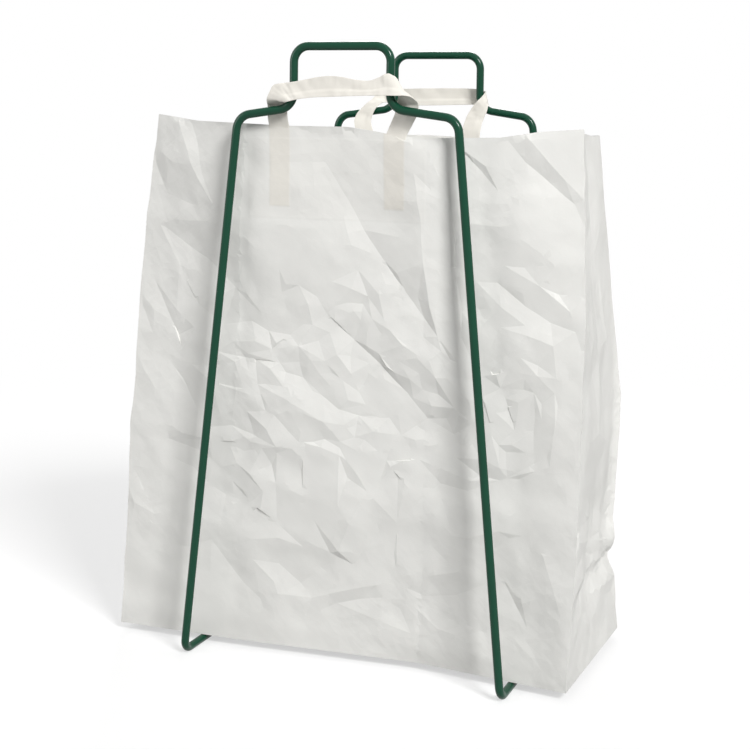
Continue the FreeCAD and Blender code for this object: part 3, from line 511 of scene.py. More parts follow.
def piece_from(name, points, faces):
    """A mesh piece from points in mm."""
    mesh = bpy.data.meshes.new(name)
    mesh.from_pydata([Vector(point) * MM for point in points], [], faces)
    mesh.update()
    piece = bpy.data.objects.new(name, mesh)
    bpy.context.scene.collection.objects.link(piece)
    return piece


def grid_piece(name, columns, rows):
    """A flat grid piece, one metre wide."""
    deselect_all()
    bpy.ops.mesh.primitive_grid_add(x_subdivisions=columns, y_subdivisions=rows, size=1)
    piece = bpy.context.object
    piece.name = piece.data.name = name
    return piece


def thicken(piece, thickness, offset):
    """Give a sheet its thickness, half to each side at offset 0 and inwards at -1."""
    wall = piece.modifiers.new("wall", "SOLIDIFY")
    wall.thickness = thickness
    wall.offset = offset


def finish_modifiers(piece):
    """Apply the piece's modifiers in order."""
    select_only(piece)
    for modifier in list(piece.modifiers):
        bpy.ops.object.modifier_apply(modifier=modifier.name)


def between(stations, place):
    """The value at a place on a line of (place, value) stations."""
    for (low, first), (high, last) in zip(stations, stations[1:]):
        if place <= high:
            return first + (last - first) * max(0.0, (place - low) / (high - low))
    return stations[-1][1]


# Geometry of the bag's paper


class FoldLine:
    """A line of the bag that gives its place at a share of its run along one axis."""

    def __init__(self, points, axis, rise=(), sway=(), kinks=0.0, seed=0):
        ordered = sorted((Vector(point) for point in points), key=lambda point: point[axis])
        low, high = ordered[0][axis], ordered[-1][axis]
        self.points = ordered
        self.shares = [(point[axis] - low) / (high - low) for point in ordered]
        self.run = sum((b - a).length for a, b in zip(ordered, ordered[1:]))
        self.rise, self.sway = rise, sway
        self.kinks = self.draw_kinks(kinks, seed)

    def draw_kinks(self, size, seed):
        """Small dents that the line gets square to its run, at uneven places."""
        draw = random.Random(seed)
        kinks, place = [(0.0, (0.0, 0.0))], 0.0
        while size and place < KINK_LAST:
            place += draw.uniform(*KINK_SPACING) / self.run
            shift = draw.uniform(-size, size), draw.uniform(-size, size)
            kinks.append((min(place, KINK_END), shift))
        return kinks + [(1.0, (0.0, 0.0))]

    def at(self, share):
        """The place at a share from 0 to 1."""
        index = min(max(bisect.bisect_right(self.shares, share), 1), len(self.shares) - 1)
        low, high = self.shares[index - 1], self.shares[index]
        part = (share - low) / (high - low)
        place = self.points[index - 1].lerp(self.points[index], part)
        for (low, first), (high, last) in zip(self.kinks, self.kinks[1:]):
            if low <= share <= high and high > low:
                part = (share - low) / (high - low)
                place.x += first[0] + (last[0] - first[0]) * part
                place.y += first[1] + (last[1] - first[1]) * part
                break
        if self.rise:
            place.z += between(self.rise, share * 100)
        if self.sway:
            place.x += between(self.sway, share * 100)
        return place

    def steps(self, spacing):
        """Even shares along the line, both ends included."""
        count = max(1, round(self.run / spacing))
        return [index / count for index in range(count + 1)]


class Facets:
    """Heights over a flat sheet, joined by flat facets, the way paper lies between folds."""

    def __init__(self, flat, heights, edges):
        points, lines, faces, origin, drawn, _ = delaunay_2d_cdt(
            [Vector(point) for point in flat], edges, [], ALL_TRIANGLES, SAME_PLACE)
        raised = []
        for point, sources in zip(points, origin):
            if sources:
                height = heights[sources[0]]
            else:
                near = sorted(range(len(flat)), key=lambda k: (Vector(flat[k]) - point).length)[:3]
                height = sum(heights[k] for k in near) / len(near)
            raised.append(Vector((point.x, point.y, height)))
        self.points = raised
        self.lines = [(one, two, bool(sources)) for (one, two), sources in zip(lines, drawn)]
        self.tree = BVHTree.FromPolygons(raised, faces)

    def at(self, across, up):
        """Height at a place, 0 outside the sheet."""
        hit = self.tree.ray_cast(Vector((across, up, RAY_START)), Vector((0, 0, -1)))
        return hit[0].z if hit[0] else 0.0


def scattered(draw, wide, high, reach, tries):
    """Random points no nearer to each other than reach(point) says."""
    kept = []
    for _ in range(tries):
        point = (draw.uniform(0, wide), draw.uniform(0, high))
        apart = reach(point[0] / wide, point[1] / high)
        if all((point[0] - x) ** 2 + (point[1] - y) ** 2 > apart * apart for x, y in kept):
            kept.append(point)
    return kept


def eased(heights, faces, held, times):
    """Heights evened out with their neighbours' ones, except the held ones."""
    beside = [set() for _ in heights]
    for face in faces:
        for index in face:
            beside[index].update(face)
    for _ in range(times):
        means = [sum(heights[k] for k in near) / len(near) if near else 0.0 for near in beside]
        heights = [height if index in held or not beside[index]
                   else height * EASE_KEEP + (1 - EASE_KEEP) * means[index]
                   for index, height in enumerate(heights)]
    return heights


def stretched(first, last, foot, rim, u, v):
    """A place on the sheet that is stretched evenly between four lines."""
    corners = (foot.at(0) * ((1 - u) * (1 - v)) + foot.at(1) * (u * (1 - v))
               + rim.at(0) * ((1 - u) * v) + rim.at(1) * (u * v))
    return first.at(v) * (1 - u) + last.at(v) * u + foot.at(u) * (1 - v) + rim.at(u) * v - corners


def outline(first, last, foot, rim, spacing):
    """(across, up) shares round a sheet's edge, closed, without a repeat."""
    return ([(share, 0.0) for share in foot.steps(spacing)][:-1]
            + [(1.0, share) for share in last.steps(spacing)][:-1]
            + [(share, 1.0) for share in reversed(rim.steps(spacing))][:-1]
            + [(0.0, share) for share in reversed(first.steps(spacing))][:-1])


def ring(count):
    """Edges that join points in a closed round."""
    return [(index, (index + 1) % count) for index in range(count)]


def meshed(shares, wide, high, edges):
    """The points, faces and each point's sources of a flat mesh inside its edges."""
    flat = [Vector((u * wide, v * high)) for u, v in shares]
    points, _, faces, origin, _, _ = delaunay_2d_cdt(flat, edges, [], INSIDE_EDGES, SAME_PLACE)
    return points, faces, origin


def faced(placed, faces, way):
    """Faces turned so that they look one way."""
    turned = []
    for face in faces:
        a, b, c = (placed[index] for index in face[:3])
        right_way = (b - a).cross(c - a).dot(way) > 0
        turned.append(list(face) if right_way else list(reversed(face)))
    return turned


class Panel:
    """One side of the bag between two upright folds, its foot and its rim."""

    def __init__(self, outward, first, last, foot, rim, skin, calm):
        self.outward = outward
        self.first, self.last, self.foot, self.rim = first, last, foot, rim
        self.wide = (foot.run + rim.run) / 2
        self.high = (first.run + last.run) / 2
        self.rest = self.read_rest(skin, calm)

    def flat_place(self, u, v):
        """A place on the panel as if it had no folds."""
        return stretched(self.first, self.last, self.foot, self.rim, u, v)

    def read_rest(self, skin, calm):
        """How far the CAD panel stands off its flat place, on a grid, evened out calm times."""
        numbers = {point: index for index, point in enumerate({p for face in skin for p in face})}
        tree = BVHTree.FromPolygons([Vector(point) for point in numbers],
                                    [[numbers[point] for point in face] for face in skin])
        columns, rows = REST_COLUMNS, REST_ROWS
        grid = [[0.0] * (columns + 1) for _ in range(rows + 1)]
        for j in range(1, rows):
            for i in range(1, columns):
                place = self.flat_place(i / columns, j / rows)
                hit = tree.ray_cast(place + self.outward * RAY_START, -self.outward)
                grid[j][i] = (hit[0] - place).dot(self.outward) if hit[0] else 0.0
        for _ in range(calm):
            evened = [row[:] for row in grid]
            for j in range(1, rows):
                for i in range(1, columns):
                    beside = grid[j - 1][i] + grid[j + 1][i] + grid[j][i - 1] + grid[j][i + 1]
                    evened[j][i] = grid[j][i] * REST_WEIGHT + beside * BESIDE_WEIGHT
            grid = evened
        return grid

    def rest_at(self, u, v):
        """That distance at any place."""
        rows, columns = len(self.rest) - 1, len(self.rest[0]) - 1
        i, j = min(int(u * columns), columns - 1), min(int(v * rows), rows - 1)
        s, r = u * columns - i, v * rows - j
        low = self.rest[j][i] * (1 - s) + self.rest[j][i + 1] * s
        high = self.rest[j + 1][i] * (1 - s) + self.rest[j + 1][i + 1] * s
        return low * (1 - r) + high * r

    def crease(self, folds, seed, zones):
        """Lay the folds and random facets between them over the panel."""
        draw = random.Random(seed)
        self.zones = zones

        def reach(u, v):
            return WIDE_FACET - (WIDE_FACET - BUSY_FACET) * busy_at(zones, u, v)

        wide, high = self.wide, self.high
        border = []
        for line, place in ((self.first, lambda s: (0, s)), (self.last, lambda s: (1, s)),
                            (self.foot, lambda s: (s, 0))):
            border += [place(share) for share in line.steps(BORDER_STEP)]
        border = sorted(set(border))
        flat = [(u * wide, v * high) for u, v in border]
        heights = [0.0] * len(flat)
        edges = []
        for fold in folds:
            for index, (across, up, out) in enumerate(fold):
                flat.append((across / 100 * wide, up / 100 * high))
                heights.append(out * FOLD_DEPTH)
                if index:
                    edges.append((len(flat) - 2, len(flat) - 1))
        for share in self.rim.steps(RIM_STEP)[1:-1]:
            if all(abs(x - share * wide) + abs(y - high) > RIM_CLEAR for x, y in flat):
                flat.append((share * wide, high))
                heights.append(draw.uniform(-1, 1))
        drawn = Facets(flat, heights, edges)
        for point in scattered(draw, wide, high, reach, FACET_TRIES):
            u, v = point[0] / wide, point[1] / high
            apart = reach(u, v)
            inside = EDGE_CLEAR < point[0] < wide - EDGE_CLEAR
            inside = inside and EDGE_CLEAR < point[1] < high - EDGE_CLEAR
            if inside and all((point[0] - x) ** 2 + (point[1] - y) ** 2 > (NEAR_FOLD * apart) ** 2
                              for x, y in flat):
                slope = CALM_SLOPE + (BUSY_SLOPE - CALM_SLOPE) * busy_at(zones, u, v)
                heights.append(drawn.at(*point) + draw.uniform(-1, 1) * slope * apart)
                flat.append(point)
        self.facets = Facets(flat, heights, edges)
        small = scattered(draw, wide, high, lambda u, v: FINE_FACET, FINE_TRIES)
        edge = [(u * wide, v * high) for u, v in border] + [(0, high), (wide, high)]
        lifts = [draw.uniform(-1, 1) * FINE_FACET
                 * (FINE_SLOPE + FINE_SLOPE_MORE * busy_at(zones, x / wide, y / high))
                 for x, y in small]
        lifts += [0.0] * len(edge)
        self.small = Facets(small + edge, lifts, [])

    def mesh(self, spacing, edge_spacing, seed):
        """The panel's points in space and its faces."""
        draw = random.Random(seed)
        wide, high = self.wide, self.high
        shares = outline(self.first, self.last, self.foot, self.rim, edge_spacing)
        count = len(shares)
        edges = ring(count)
        filled = {}

        def cell(u, v):
            return int(u * wide / spacing), int(v * high / spacing)

        def crowded(u, v, apart):
            i, j = cell(u, v)
            for other in [p for a in (-1, 0, 1) for b in (-1, 0, 1)
                          for p in filled.get((i + a, j + b), ())]:
                if math.hypot((other[0] - u) * wide, (other[1] - v) * high) < apart:
                    return True
            return False

        def add(u, v):
            shares.append((u, v))
            filled.setdefault(cell(u, v), []).append((u, v))

        for u, v in shares:
            filled.setdefault(cell(u, v), []).append((u, v))
        margin = EDGE_CROWDED * spacing
        knots, crisp = {}, set(range(count))
        for one, two, drawn in self.facets.lines:
            a, b = self.facets.points[one], self.facets.points[two]
            busy = busy_at(self.zones, (a.x + b.x) / 2 / wide, (a.y + b.y) / 2 / high)
            sharp = drawn or draw.random() < CRISP_SHARE * (CRISP_CALM + busy)
            pieces = max(1, round((b - a).length / spacing))
            before = None
            for index in range(pieces + 1):
                place = a.lerp(b, index / pieces)
                key = (round(place.x, 2), round(place.y, 2))
                u, v = place.x / wide, place.y / high
                inner = margin / wide < u < 1 - margin / wide
                inner = inner and margin / high < v < 1 - margin / high
                if key not in knots:
                    if not inner or crowded(u, v, CREASE_CROWDED * spacing):
                        before = None
                        continue
                    knots[key] = len(shares)
                    add(u, v)
                if before is not None and before != knots[key]:
                    edges.append((before, knots[key]))
                before = knots[key]
                if sharp:
                    crisp.add(before)
        for j in range(1, int(high / (ROW_STEP * spacing))):
            for i in range(int(wide / spacing) + 1):
                u = (i + (j % 2) / 2 + draw.uniform(-PLAY, PLAY)) * spacing / wide
                v = (j + draw.uniform(-PLAY, PLAY)) * ROW_STEP * spacing / high
                if 0 < u < 1 and v < 1 and not crowded(u, v, CROWDED * spacing):
                    add(u, v)
        points, faces, origin = meshed(shares, wide, high, edges)
        kept = [shares[sources[0]] if sources else (point.x / wide, point.y / high)
                for point, sources in zip(points, origin)]
        heights = [self.rest_at(u, v) + self.facets.at(u * wide, v * high) for u, v in kept]
        held = {index for index, sources in enumerate(origin) if crisp.intersection(sources)}
        heights = eased(heights, faces, held, EASE_TIMES)
        placed = [self.flat_place(u, v)
                  + self.outward * (height + self.small.at(u * wide, v * high))
                  for (u, v), height in zip(kept, heights)]
        return placed, faced(placed, faces, self.outward)


def read_skins():
    """The CAD bag's outer triangles by side, as points in mm."""
    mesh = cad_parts["bag"].data
    ways = {"front": Vector((0, -1, 0)), "right": Vector((1, 0, 0)), "back": Vector((0, 1, 0)),
            "left": Vector((-1, 0, 0)), "base": Vector((0, 0, -1))}
    skins = {name: [] for name in ways}
    for face in mesh.polygons:
        corners = [mesh.vertices[index].co / MM for index in face.vertices]
        centre = sum(corners, Vector()) / len(corners)
        name = max(ways, key=lambda key: face.normal.dot(ways[key]))
        outer = centre.dot(ways[name]) > (BASE_OUTSIDE if name == "base" else SKIN_OUTSIDE)
        if face.normal.dot(ways[name]) > SKIN_FACING and outer:
            skins[name].append([tuple(round(c, 2) for c in corner) for corner in corners])
    return ways, skins


def corner_lines(skins):
    """The bag's upright folds, the lines at its foot and its rims, by name."""
    points = {name: {point for face in skin for point in face} for name, skin in skins.items()}
    lines = {}
    for number, (one, two) in enumerate((("front", "left"), ("front", "right"), ("back", "right"),
                                         ("back", "left"))):
        shared = points[one] & points[two]
        lines[one, two] = FoldLine(shared, 2, UPRIGHT_RISES.get((one, two), ()),
                                   UPRIGHT_SWAYS.get((one, two), ()), KINK_SIZE,
                                   DENT_SEED + number)
    rises = {"front": FRONT_RIM, "back": BACK_RIM, "left": LEFT_RIM, "right": RIGHT_RIM}
    for number, (side, rise) in enumerate(rises.items()):
        axis = 0 if side in ("front", "back") else 1
        lines[side, "base"] = FoldLine(points[side] & points["base"], axis)
        counted = {}
        for face in skins[side]:
            for k in range(3):
                pair = frozenset((face[k], face[(k + 1) % 3]))
                counted[pair] = counted.get(pair, 0) + 1
        open_points = {point for pair, times in counted.items() if times == 1 for point in pair}
        beside = ("left", "right") if axis == 0 else ("front", "back")
        tops = [max(points[side] & points[other], key=lambda point: point[2]) for other in beside]
        others = points["base"] | points[beside[0]] | points[beside[1]]
        rim = (open_points - others) | set(tops)
        lines[side, "rim"] = FoldLine(rim, axis, rise=rise)
    return lines


def busy_at(zones, u, v):
    """How crumpled a panel is at a place, from 0 to 1."""
    return min(1.0, sum(strength * math.exp(-((u - x) / wide) ** 2 - ((v - y) / high) ** 2)
                        for x, y, wide, high, strength in zones))


def make_panels():
    """The four creased panels of the bag."""
    ways, skins = read_skins()
    lines = corner_lines(skins)
    corner = {"front": (("front", "left"), ("front", "right")),
              "right": (("front", "right"), ("back", "right")),
              "back": (("back", "left"), ("back", "right")),
              "left": (("front", "left"), ("back", "left"))}
    mirrored = [[(100 - across, up, out) for across, up, out in fold] for fold in FRONT_FOLDS]
    # Folds, seed of the random facets, crumpled zones, and how often the CAD panel is evened out
    kinds = {"front": (FRONT_FOLDS, 7, FRONT_BUSY, WIDE_CALM),
             "right": (SIDE_FOLDS, 11, SIDE_BUSY, SIDE_CALM),
             "back": (mirrored[3:], 23, BACK_BUSY, WIDE_CALM),
             "left": (SIDE_FOLDS, 31, SIDE_BUSY, SIDE_CALM)}
    panels = {}
    for name, (folds, seed, zones, calm) in kinds.items():
        first, last = (lines[pair] for pair in corner[name])
        panel = Panel(ways[name], first, last, lines[name, "base"], lines[name, "rim"],
                      skins[name], calm)
        panel.crease(folds, seed, zones)
        panels[name] = panel
    return panels, lines


def base_sheet(lines, spacing, edge_spacing, seed):
    """The bag's base between the feet of the four panels, a little puckered upwards."""
    draw = random.Random(seed)
    sides = [lines[side, "base"] for side in ("left", "right", "front", "back")]
    wide, high = sides[2].run, sides[0].run
    shares = outline(*sides, edge_spacing)
    edges = ring(len(shares))
    lifts = [0.0] * len(shares)
    for j in range(1, int(high / spacing)):
        for i in range(1, int(wide / spacing)):
            shares.append(((i + draw.uniform(-BASE_PLAY, BASE_PLAY)) * spacing / wide,
                           (j + draw.uniform(-BASE_PLAY, BASE_PLAY)) * spacing / high))
            lifts.append(draw.uniform(0, BASE_PUCKER))
    _, faces, origin = meshed(shares, wide, high, edges)
    placed = [stretched(*sides, *shares[sources[0]]) + Vector((0, 0, lifts[sources[0]]))
              for sources in origin]
    return placed, faced(placed, faces, Vector((0, 0, -1)))


# Materials


def set_inputs(node, **values):
    """Set a node's inputs by name, with an underscore for each space."""
    for name, value in values.items():
        node.inputs[name.replace("_", " ")].default_value = value
    return node


def add_node(nodes, kind, **values):
    """A shader node with its inputs set."""
    return set_inputs(nodes.new("ShaderNode" + kind), **values)


def noise_node(nodes, links, place, **values):
    """A noise texture read at a place."""
    texture = add_node(nodes, "TexNoise", **values)
    links.new(place, texture.inputs["Vector"])
    return texture


def math_node(nodes, links, operation, first, second=None, clamp=False):
    """The result of a Math node fed by sockets or numbers."""
    node = nodes.new("ShaderNodeMath")
    node.operation = operation
    node.use_clamp = clamp
    for index, value in enumerate((first, second)):
        if isinstance(value, (int, float)):
            node.inputs[index].default_value = value
        elif value is not None:
            links.new(value, node.inputs[index])
    return node.outputs[0]


def new_material(name):
    """A material with its Principled shader and object coordinates."""
    material = bpy.data.materials.new(name)
    material.use_nodes = True
    nodes = material.node_tree.nodes
    place = nodes.new("ShaderNodeTexCoord").outputs["Object"]
    return material, nodes, material.node_tree.links, nodes["Principled BSDF"], place


def add_bump(nodes, links, shader, height, strength, distance):
    """Bump on a shader from a height, with the distance in metres."""
    bump = add_node(nodes, "Bump", Strength=strength, Distance=distance)
    links.new(height, bump.inputs["Height"])
    links.new(bump.outputs["Normal"], shader.inputs["Normal"])


def mixed(nodes, links, share, first, second):
    """Two shaders mixed by a share."""
    mix = nodes.new("ShaderNodeMixShader")
    for socket, value in zip(mix.inputs, (share, first, second)):
        links.new(value, socket)
    return mix.outputs["Shader"]


def shown_rays(nodes, links):
    """1 for rays that show the background: from the camera, off gloss or through glass."""
    seen = nodes.new("ShaderNodeLightPath").outputs
    shown = math_node(nodes, links, "MAXIMUM", seen["Is Camera Ray"], seen["Is Glossy Ray"])
    return math_node(nodes, links, "MAXIMUM", shown, seen["Is Transmission Ray"])


def tinted(nodes, links, base, tint, amount):
    """A colour mixed towards a tint by a mask socket."""
    mix = nodes.new("ShaderNodeMix")
    mix.data_type = "RGBA"
    for socket, value in ((mix.inputs["A"], base), (mix.inputs["B"], tint)):
        if hasattr(value, "is_output"):
            links.new(value, socket)
        else:
            socket.default_value = (*value, 1)
    links.new(amount, mix.inputs["Factor"])
    return mix.outputs["Result"]


def scaled(colour, factor):
    """A colour made lighter or darker."""
    return tuple(min(1.0, part * factor) for part in colour)


def group_sockets(group, inputs, outputs):
    """Named sockets of a node group: (name, kind, default) inputs and (name, kind) outputs."""
    for name, kind, default in inputs:
        socket = group.interface.new_socket(name, in_out="INPUT", socket_type=kind)
        if default is not None:
            socket.default_value = default
    for name, kind in outputs:
        group.interface.new_socket(name, in_out="OUTPUT", socket_type=kind)
    return group.nodes.new("NodeGroupInput"), group.nodes.new("NodeGroupOutput")


def shared_group(nodes, name, make, **values):
    """A node for a group that is made on its first use."""
    group = bpy.data.node_groups.get(name)
    if group is None:
        group = bpy.data.node_groups.new(name, "ShaderNodeTree")
        make(group)
    node = nodes.new("ShaderNodeGroup")
    node.node_tree = group
    return set_inputs(node, **values)


def make_surface(group):
    """Fibre, fine crumple and mottling of paper, from a place on it."""
    inner, outer = group_sockets(
        group,
        [("Place", "NodeSocketVector", None), ("Crumple", "NodeSocketFloat", 1.0)],
        [("Height", "NodeSocketFloat"), ("Mottle", "NodeSocketFloat")])
    nodes, links, place = group.nodes, group.links, inner.outputs["Place"]
    wander = noise_node(nodes, links, place, Scale=26, Detail=1)
    bent = nodes.new("ShaderNodeVectorMath")
    bent.operation = "MULTIPLY_ADD"
    links.new(wander.outputs["Color"], bent.inputs[0])
    bent.inputs[1].default_value = [CRUMPLE_WANDER] * 3
    links.new(place, bent.inputs[2])
    patchy = noise_node(nodes, links, place, Scale=9, Detail=1)
    strength = add_node(nodes, "MapRange", From_Min=0.4, From_Max=0.62, To_Min=0.3)
    links.new(patchy.outputs["Fac"], strength.inputs["Value"])
    crumple = 0.0
    for scale, depth, turn in CRUMPLES:
        turned = nodes.new("ShaderNodeVectorRotate")
        turned.rotation_type = "EULER_XYZ"
        set_inputs(turned, Rotation=turn)
        links.new(bent.outputs[0], turned.inputs["Vector"])
        facets = add_node(nodes, "TexVoronoi", Scale=scale)
        facets.distance = "MANHATTAN"
        links.new(turned.outputs["Vector"], facets.inputs["Vector"])
        layer = math_node(nodes, links, "MULTIPLY", facets.outputs["Distance"], depth)
        crumple = math_node(nodes, links, "ADD", layer, crumple)
    crumple = math_node(nodes, links, "MULTIPLY", crumple, strength.outputs["Result"])
    crumple = math_node(nodes, links, "MULTIPLY", crumple, inner.outputs["Crumple"])
    fibre = noise_node(nodes, links, place, Scale=900, Detail=4)
    grain = math_node(nodes, links, "MULTIPLY", fibre.outputs["Fac"], FIBRE_DEPTH)
    links.new(math_node(nodes, links, "ADD", crumple, grain), outer.inputs["Height"])
    cloud = noise_node(nodes, links, place, Scale=14, Detail=5, Roughness=0.62)
    links.new(cloud.outputs["Fac"], outer.inputs["Mottle"])


def make_window(group):
    """A soft-edged rectangle on the front and back panels, 1 inside it and 0 outside."""
    sides = (("X", "Left", 1.0), ("X", "Right", -1.0), ("Z", "Foot", 1.0), ("Z", "Top", -1.0))
    inner, outer = group_sockets(
        group,
        [("Place", "NodeSocketVector", None), ("Softness", "NodeSocketFloat", WINDOW_SOFTNESS)]
        + [(side, "NodeSocketFloat", 0.0) for _, side, _ in sides],
        [("Mask", "NodeSocketFloat")])
    nodes, links = group.nodes, group.links
    apart = nodes.new("ShaderNodeSeparateXYZ")
    links.new(inner.outputs["Place"], apart.inputs["Vector"])
    mask = 1.0
    for axis, side, sign in sides:
        off = math_node(nodes, links, "SUBTRACT", apart.outputs[axis], inner.outputs[side])
        off = math_node(nodes, links, "MULTIPLY", off, sign)
        off = math_node(nodes, links, "DIVIDE", off, inner.outputs["Softness"])
        within = math_node(nodes, links, "ADD", off, 0.5, clamp=True)
        mask = math_node(nodes, links, "MULTIPLY", mask, within)
    links.new(mask, outer.inputs["Mask"])


def paper_material(name, colour, crumple, windows):
    """Matt paper: mottled, fibrous and finely crumpled, with what lies behind it showing."""
    material, nodes, links, shader, place = new_material(name)
    surface = shared_group(nodes, "paper_surface", make_surface, Crumple=crumple)
    links.new(place, surface.inputs["Place"])
    spread = add_node(nodes, "MapRange", From_Min=0.3, From_Max=0.7)
    links.new(surface.outputs["Mottle"], spread.inputs["Value"])
    dark, light = (scaled(colour, shade) for shade in PAPER_SHADES)
    paint = tinted(nodes, links, dark, light, spread.outputs["Result"])
    height = surface.outputs["Height"]
    for left, right, foot, top, tint, amount, lift in windows:
        window = shared_group(nodes, "paper_window", make_window, Softness=WINDOW_SOFTNESS,
                              Left=left * MM, Right=right * MM, Foot=foot * MM, Top=top * MM)
        links.new(place, window.inputs["Place"])
        share = math_node(nodes, links, "MULTIPLY", window.outputs["Mask"], amount)
        paint = tinted(nodes, links, paint, tint, share)
        step = math_node(nodes, links, "MULTIPLY", window.outputs["Mask"], lift)
        height = math_node(nodes, links, "ADD", height, step)
    add_bump(nodes, links, shader, height, 1.0, PAPER_RELIEF)
    links.new(paint, shader.inputs["Base Color"])
    set_inputs(shader, Roughness=0.82, Specular_IOR_Level=0.28)
    return material


def wire_material(colour):
    """Gloss powder coat: fine orange peel under a clear skin."""
    material, nodes, links, shader, place = new_material("coated_wire")
    peel = noise_node(nodes, links, place, Scale=780, Detail=2)
    add_bump(nodes, links, shader, peel.outputs["Fac"], 0.5, PEEL_RELIEF)
    cloud = noise_node(nodes, links, place, Scale=34, Detail=4)
    dark, light = (scaled(colour, shade) for shade in COAT_SHADES)
    paint = tinted(nodes, links, dark, light, cloud.outputs["Fac"])
    links.new(paint, shader.inputs["Base Color"])
    set_inputs(shader, Roughness=0.3, Specular_IOR_Level=0.12, Coat_Weight=0.25,
               Coat_Roughness=0.05)
    return material


def floor_material(colour):
    """Pale floor that runs out to plain white, and keeps the object's shadow."""
    material, nodes, links, shader, place = new_material("studio_floor")
    set_inputs(shader, Roughness=0.9, Specular_IOR_Level=0.1, Base_Color=(*colour, 1))
    glow = add_node(nodes, "Emission", Color=WHITE, Strength=FLOOR_GLOW)
    lit = nodes.new("ShaderNodeAddShader")
    links.new(shader.outputs["BSDF"], lit.inputs[0])
    links.new(glow.outputs["Emission"], lit.inputs[1])
    shown = shown_rays(nodes, links)
    near = mixed(nodes, links, shown, shader.outputs["BSDF"], lit.outputs["Shader"])
    length = nodes.new("ShaderNodeVectorMath")
    length.operation = "LENGTH"
    links.new(place, length.inputs[0])
    fade = add_node(nodes, "MapRange", From_Min=FADE_FROM, From_Max=FADE_TO)
    fade.interpolation_type = "SMOOTHSTEP"
    links.new(length.outputs["Value"], fade.inputs["Value"])
    far = math_node(nodes, links, "MULTIPLY", fade.outputs["Result"], shown)
    white = add_node(nodes, "Emission", Color=WHITE)
    whole = mixed(nodes, links, far, near, white.outputs["Emission"])
    links.new(whole, nodes["Material Output"].inputs["Surface"])
    return material


def dress(piece, material):
    """Give a piece its material and its body."""
    piece.data.materials.clear()
    piece.data.materials.append(material)
    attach(piece, "root")


# The straps


def spline_point(before, first, last, after, share):
    """A smooth point between first and last (Catmull-Rom)."""
    return 0.5 * (2 * first + (last - before) * share
                  + (2 * before - 5 * first + 4 * last - after) * share ** 2
                  + (3 * first - before - 3 * last + after) * share ** 3)


def smooth_line(points, pieces):
    """Points along a smooth curve through the given ones."""
    points = [Vector(point) for point in points]
    padded = [points[0] * 2 - points[1]] + points + [points[-1] * 2 - points[-2]]
    line = []
    for index in range(1, len(padded) - 2):
        for step in range(pieces):
            line.append(spline_point(*padded[index - 1:index + 3], step / pieces))
    return line + [points[-1]]


def paper_face(way):
    """A function giving the y of the bag's outer face at a place of its front or back, in mm."""
    mesh = bpy.data.objects["paper_bag"].data
    tree = BVHTree.FromPolygons([vertex.co for vertex in mesh.vertices],
                                [face.vertices for face in mesh.polygons])

    def depth(x, z):
        for drop in range(FACE_TRIES):
            start = Vector((x, way * FACE_START, z - drop)) * MM
            hit = tree.ray_cast(start, Vector((0, -way, 0)), FACE_REACH)
            if hit[0]:
                return hit[0].y / MM
        raise RuntimeError("no paper at x %.1f, z %.1f" % (x, z))

    return depth


def make_strap(name, stations, seed, thickness, way, settings):
    """A folded paper strap: a wrinkled ribbon between its two edges, with its inner fold."""
    across = STRAP_COLUMNS
    upper = smooth_line([station[0] for station in stations], STRAP_PIECES)
    lower = smooth_line([station[1] for station in stations], STRAP_PIECES)
    rows = len(upper)
    depth = paper_face(way)
    inset = way * (settings.paper_thickness / MM + thickness / MM / 2 + GLUE_GAP)
    piece = grid_piece(name, across, rows - 1)
    run = 0.0
    for row in range(rows):
        before, after = max(row - 1, 0), min(row + 1, rows - 1)
        middle = (upper[row] + lower[row]) / 2
        along = (upper[after] + lower[after]) / 2 - (upper[before] + lower[before]) / 2
        if row:
            run += (middle - (upper[row - 1] + lower[row - 1]) / 2).length
        square = along.cross(lower[row] - upper[row]).normalized()
        free = min(1.0, max(0.0, (upper[row].z - WRINKLE_FROM) / WRINKLE_OVER))
        for column in range(across + 1):
            share = column / across
            point = upper[row].lerp(lower[row], share)
            soft = noise.noise(Vector((run * SOFT_WAVE[0] + seed, share * SOFT_WAVE[1], 0)))
            wrinkle = noise.noise(Vector((run * WRINKLE_WAVE[0], share * WRINKLE_WAVE[1] + seed,
                                          3)))
            lift = (SOFT_WAVE[2] * soft + WRINKLE_WAVE[2] * wrinkle * (WRINKLE_UPPER - share))
            lift += STRAP_CROWN * math.sin(math.pi * share)
            lift -= INNER_STEP if share > INNER_FOLD else 0.0
            vertex = piece.data.vertices[row * (across + 1) + column]
            point = point + square * (lift * free)
            lean = min(1.0, max(0.0, (point.z - LEAN_FROM) / LEAN_OVER))
            if lean < 1:
                glued_y = depth(point.x, min(point.z, READ_TO)) - inset
                point.y = glued_y * (1 - lean) + point.y * lean
            vertex.co = point * MM
    thicken(piece, thickness, 0)
    soften = piece.modifiers.new("soft_edges", "BEVEL")
    soften.width = thickness * BEVEL_SHARE
    soften.segments = BEVEL_SEGMENTS
    soften.limit_method = "ANGLE"
    soften.angle_limit = math.radians(BEVEL_ANGLE)
    finish_modifiers(piece)
    bpy.ops.object.shade_smooth_by_angle(angle=math.radians(STRAP_ANGLE))
    return piece


# Operators


class RACK_OT_coat_wire(bpy.types.Operator):
    """Give the bent wire its gloss powder coat"""
    bl_idname = "rack.coat_wire"
    bl_label = "Coat the wire"
    bl_options = {"REGISTER", "UNDO"}

    def execute(self, context):
        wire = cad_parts["wire_frame"]
        wire.data.materials.clear()
        wire.data.materials.append(wire_material(context.scene.rack_settings.wire_colour))
        return {"FINISHED"}


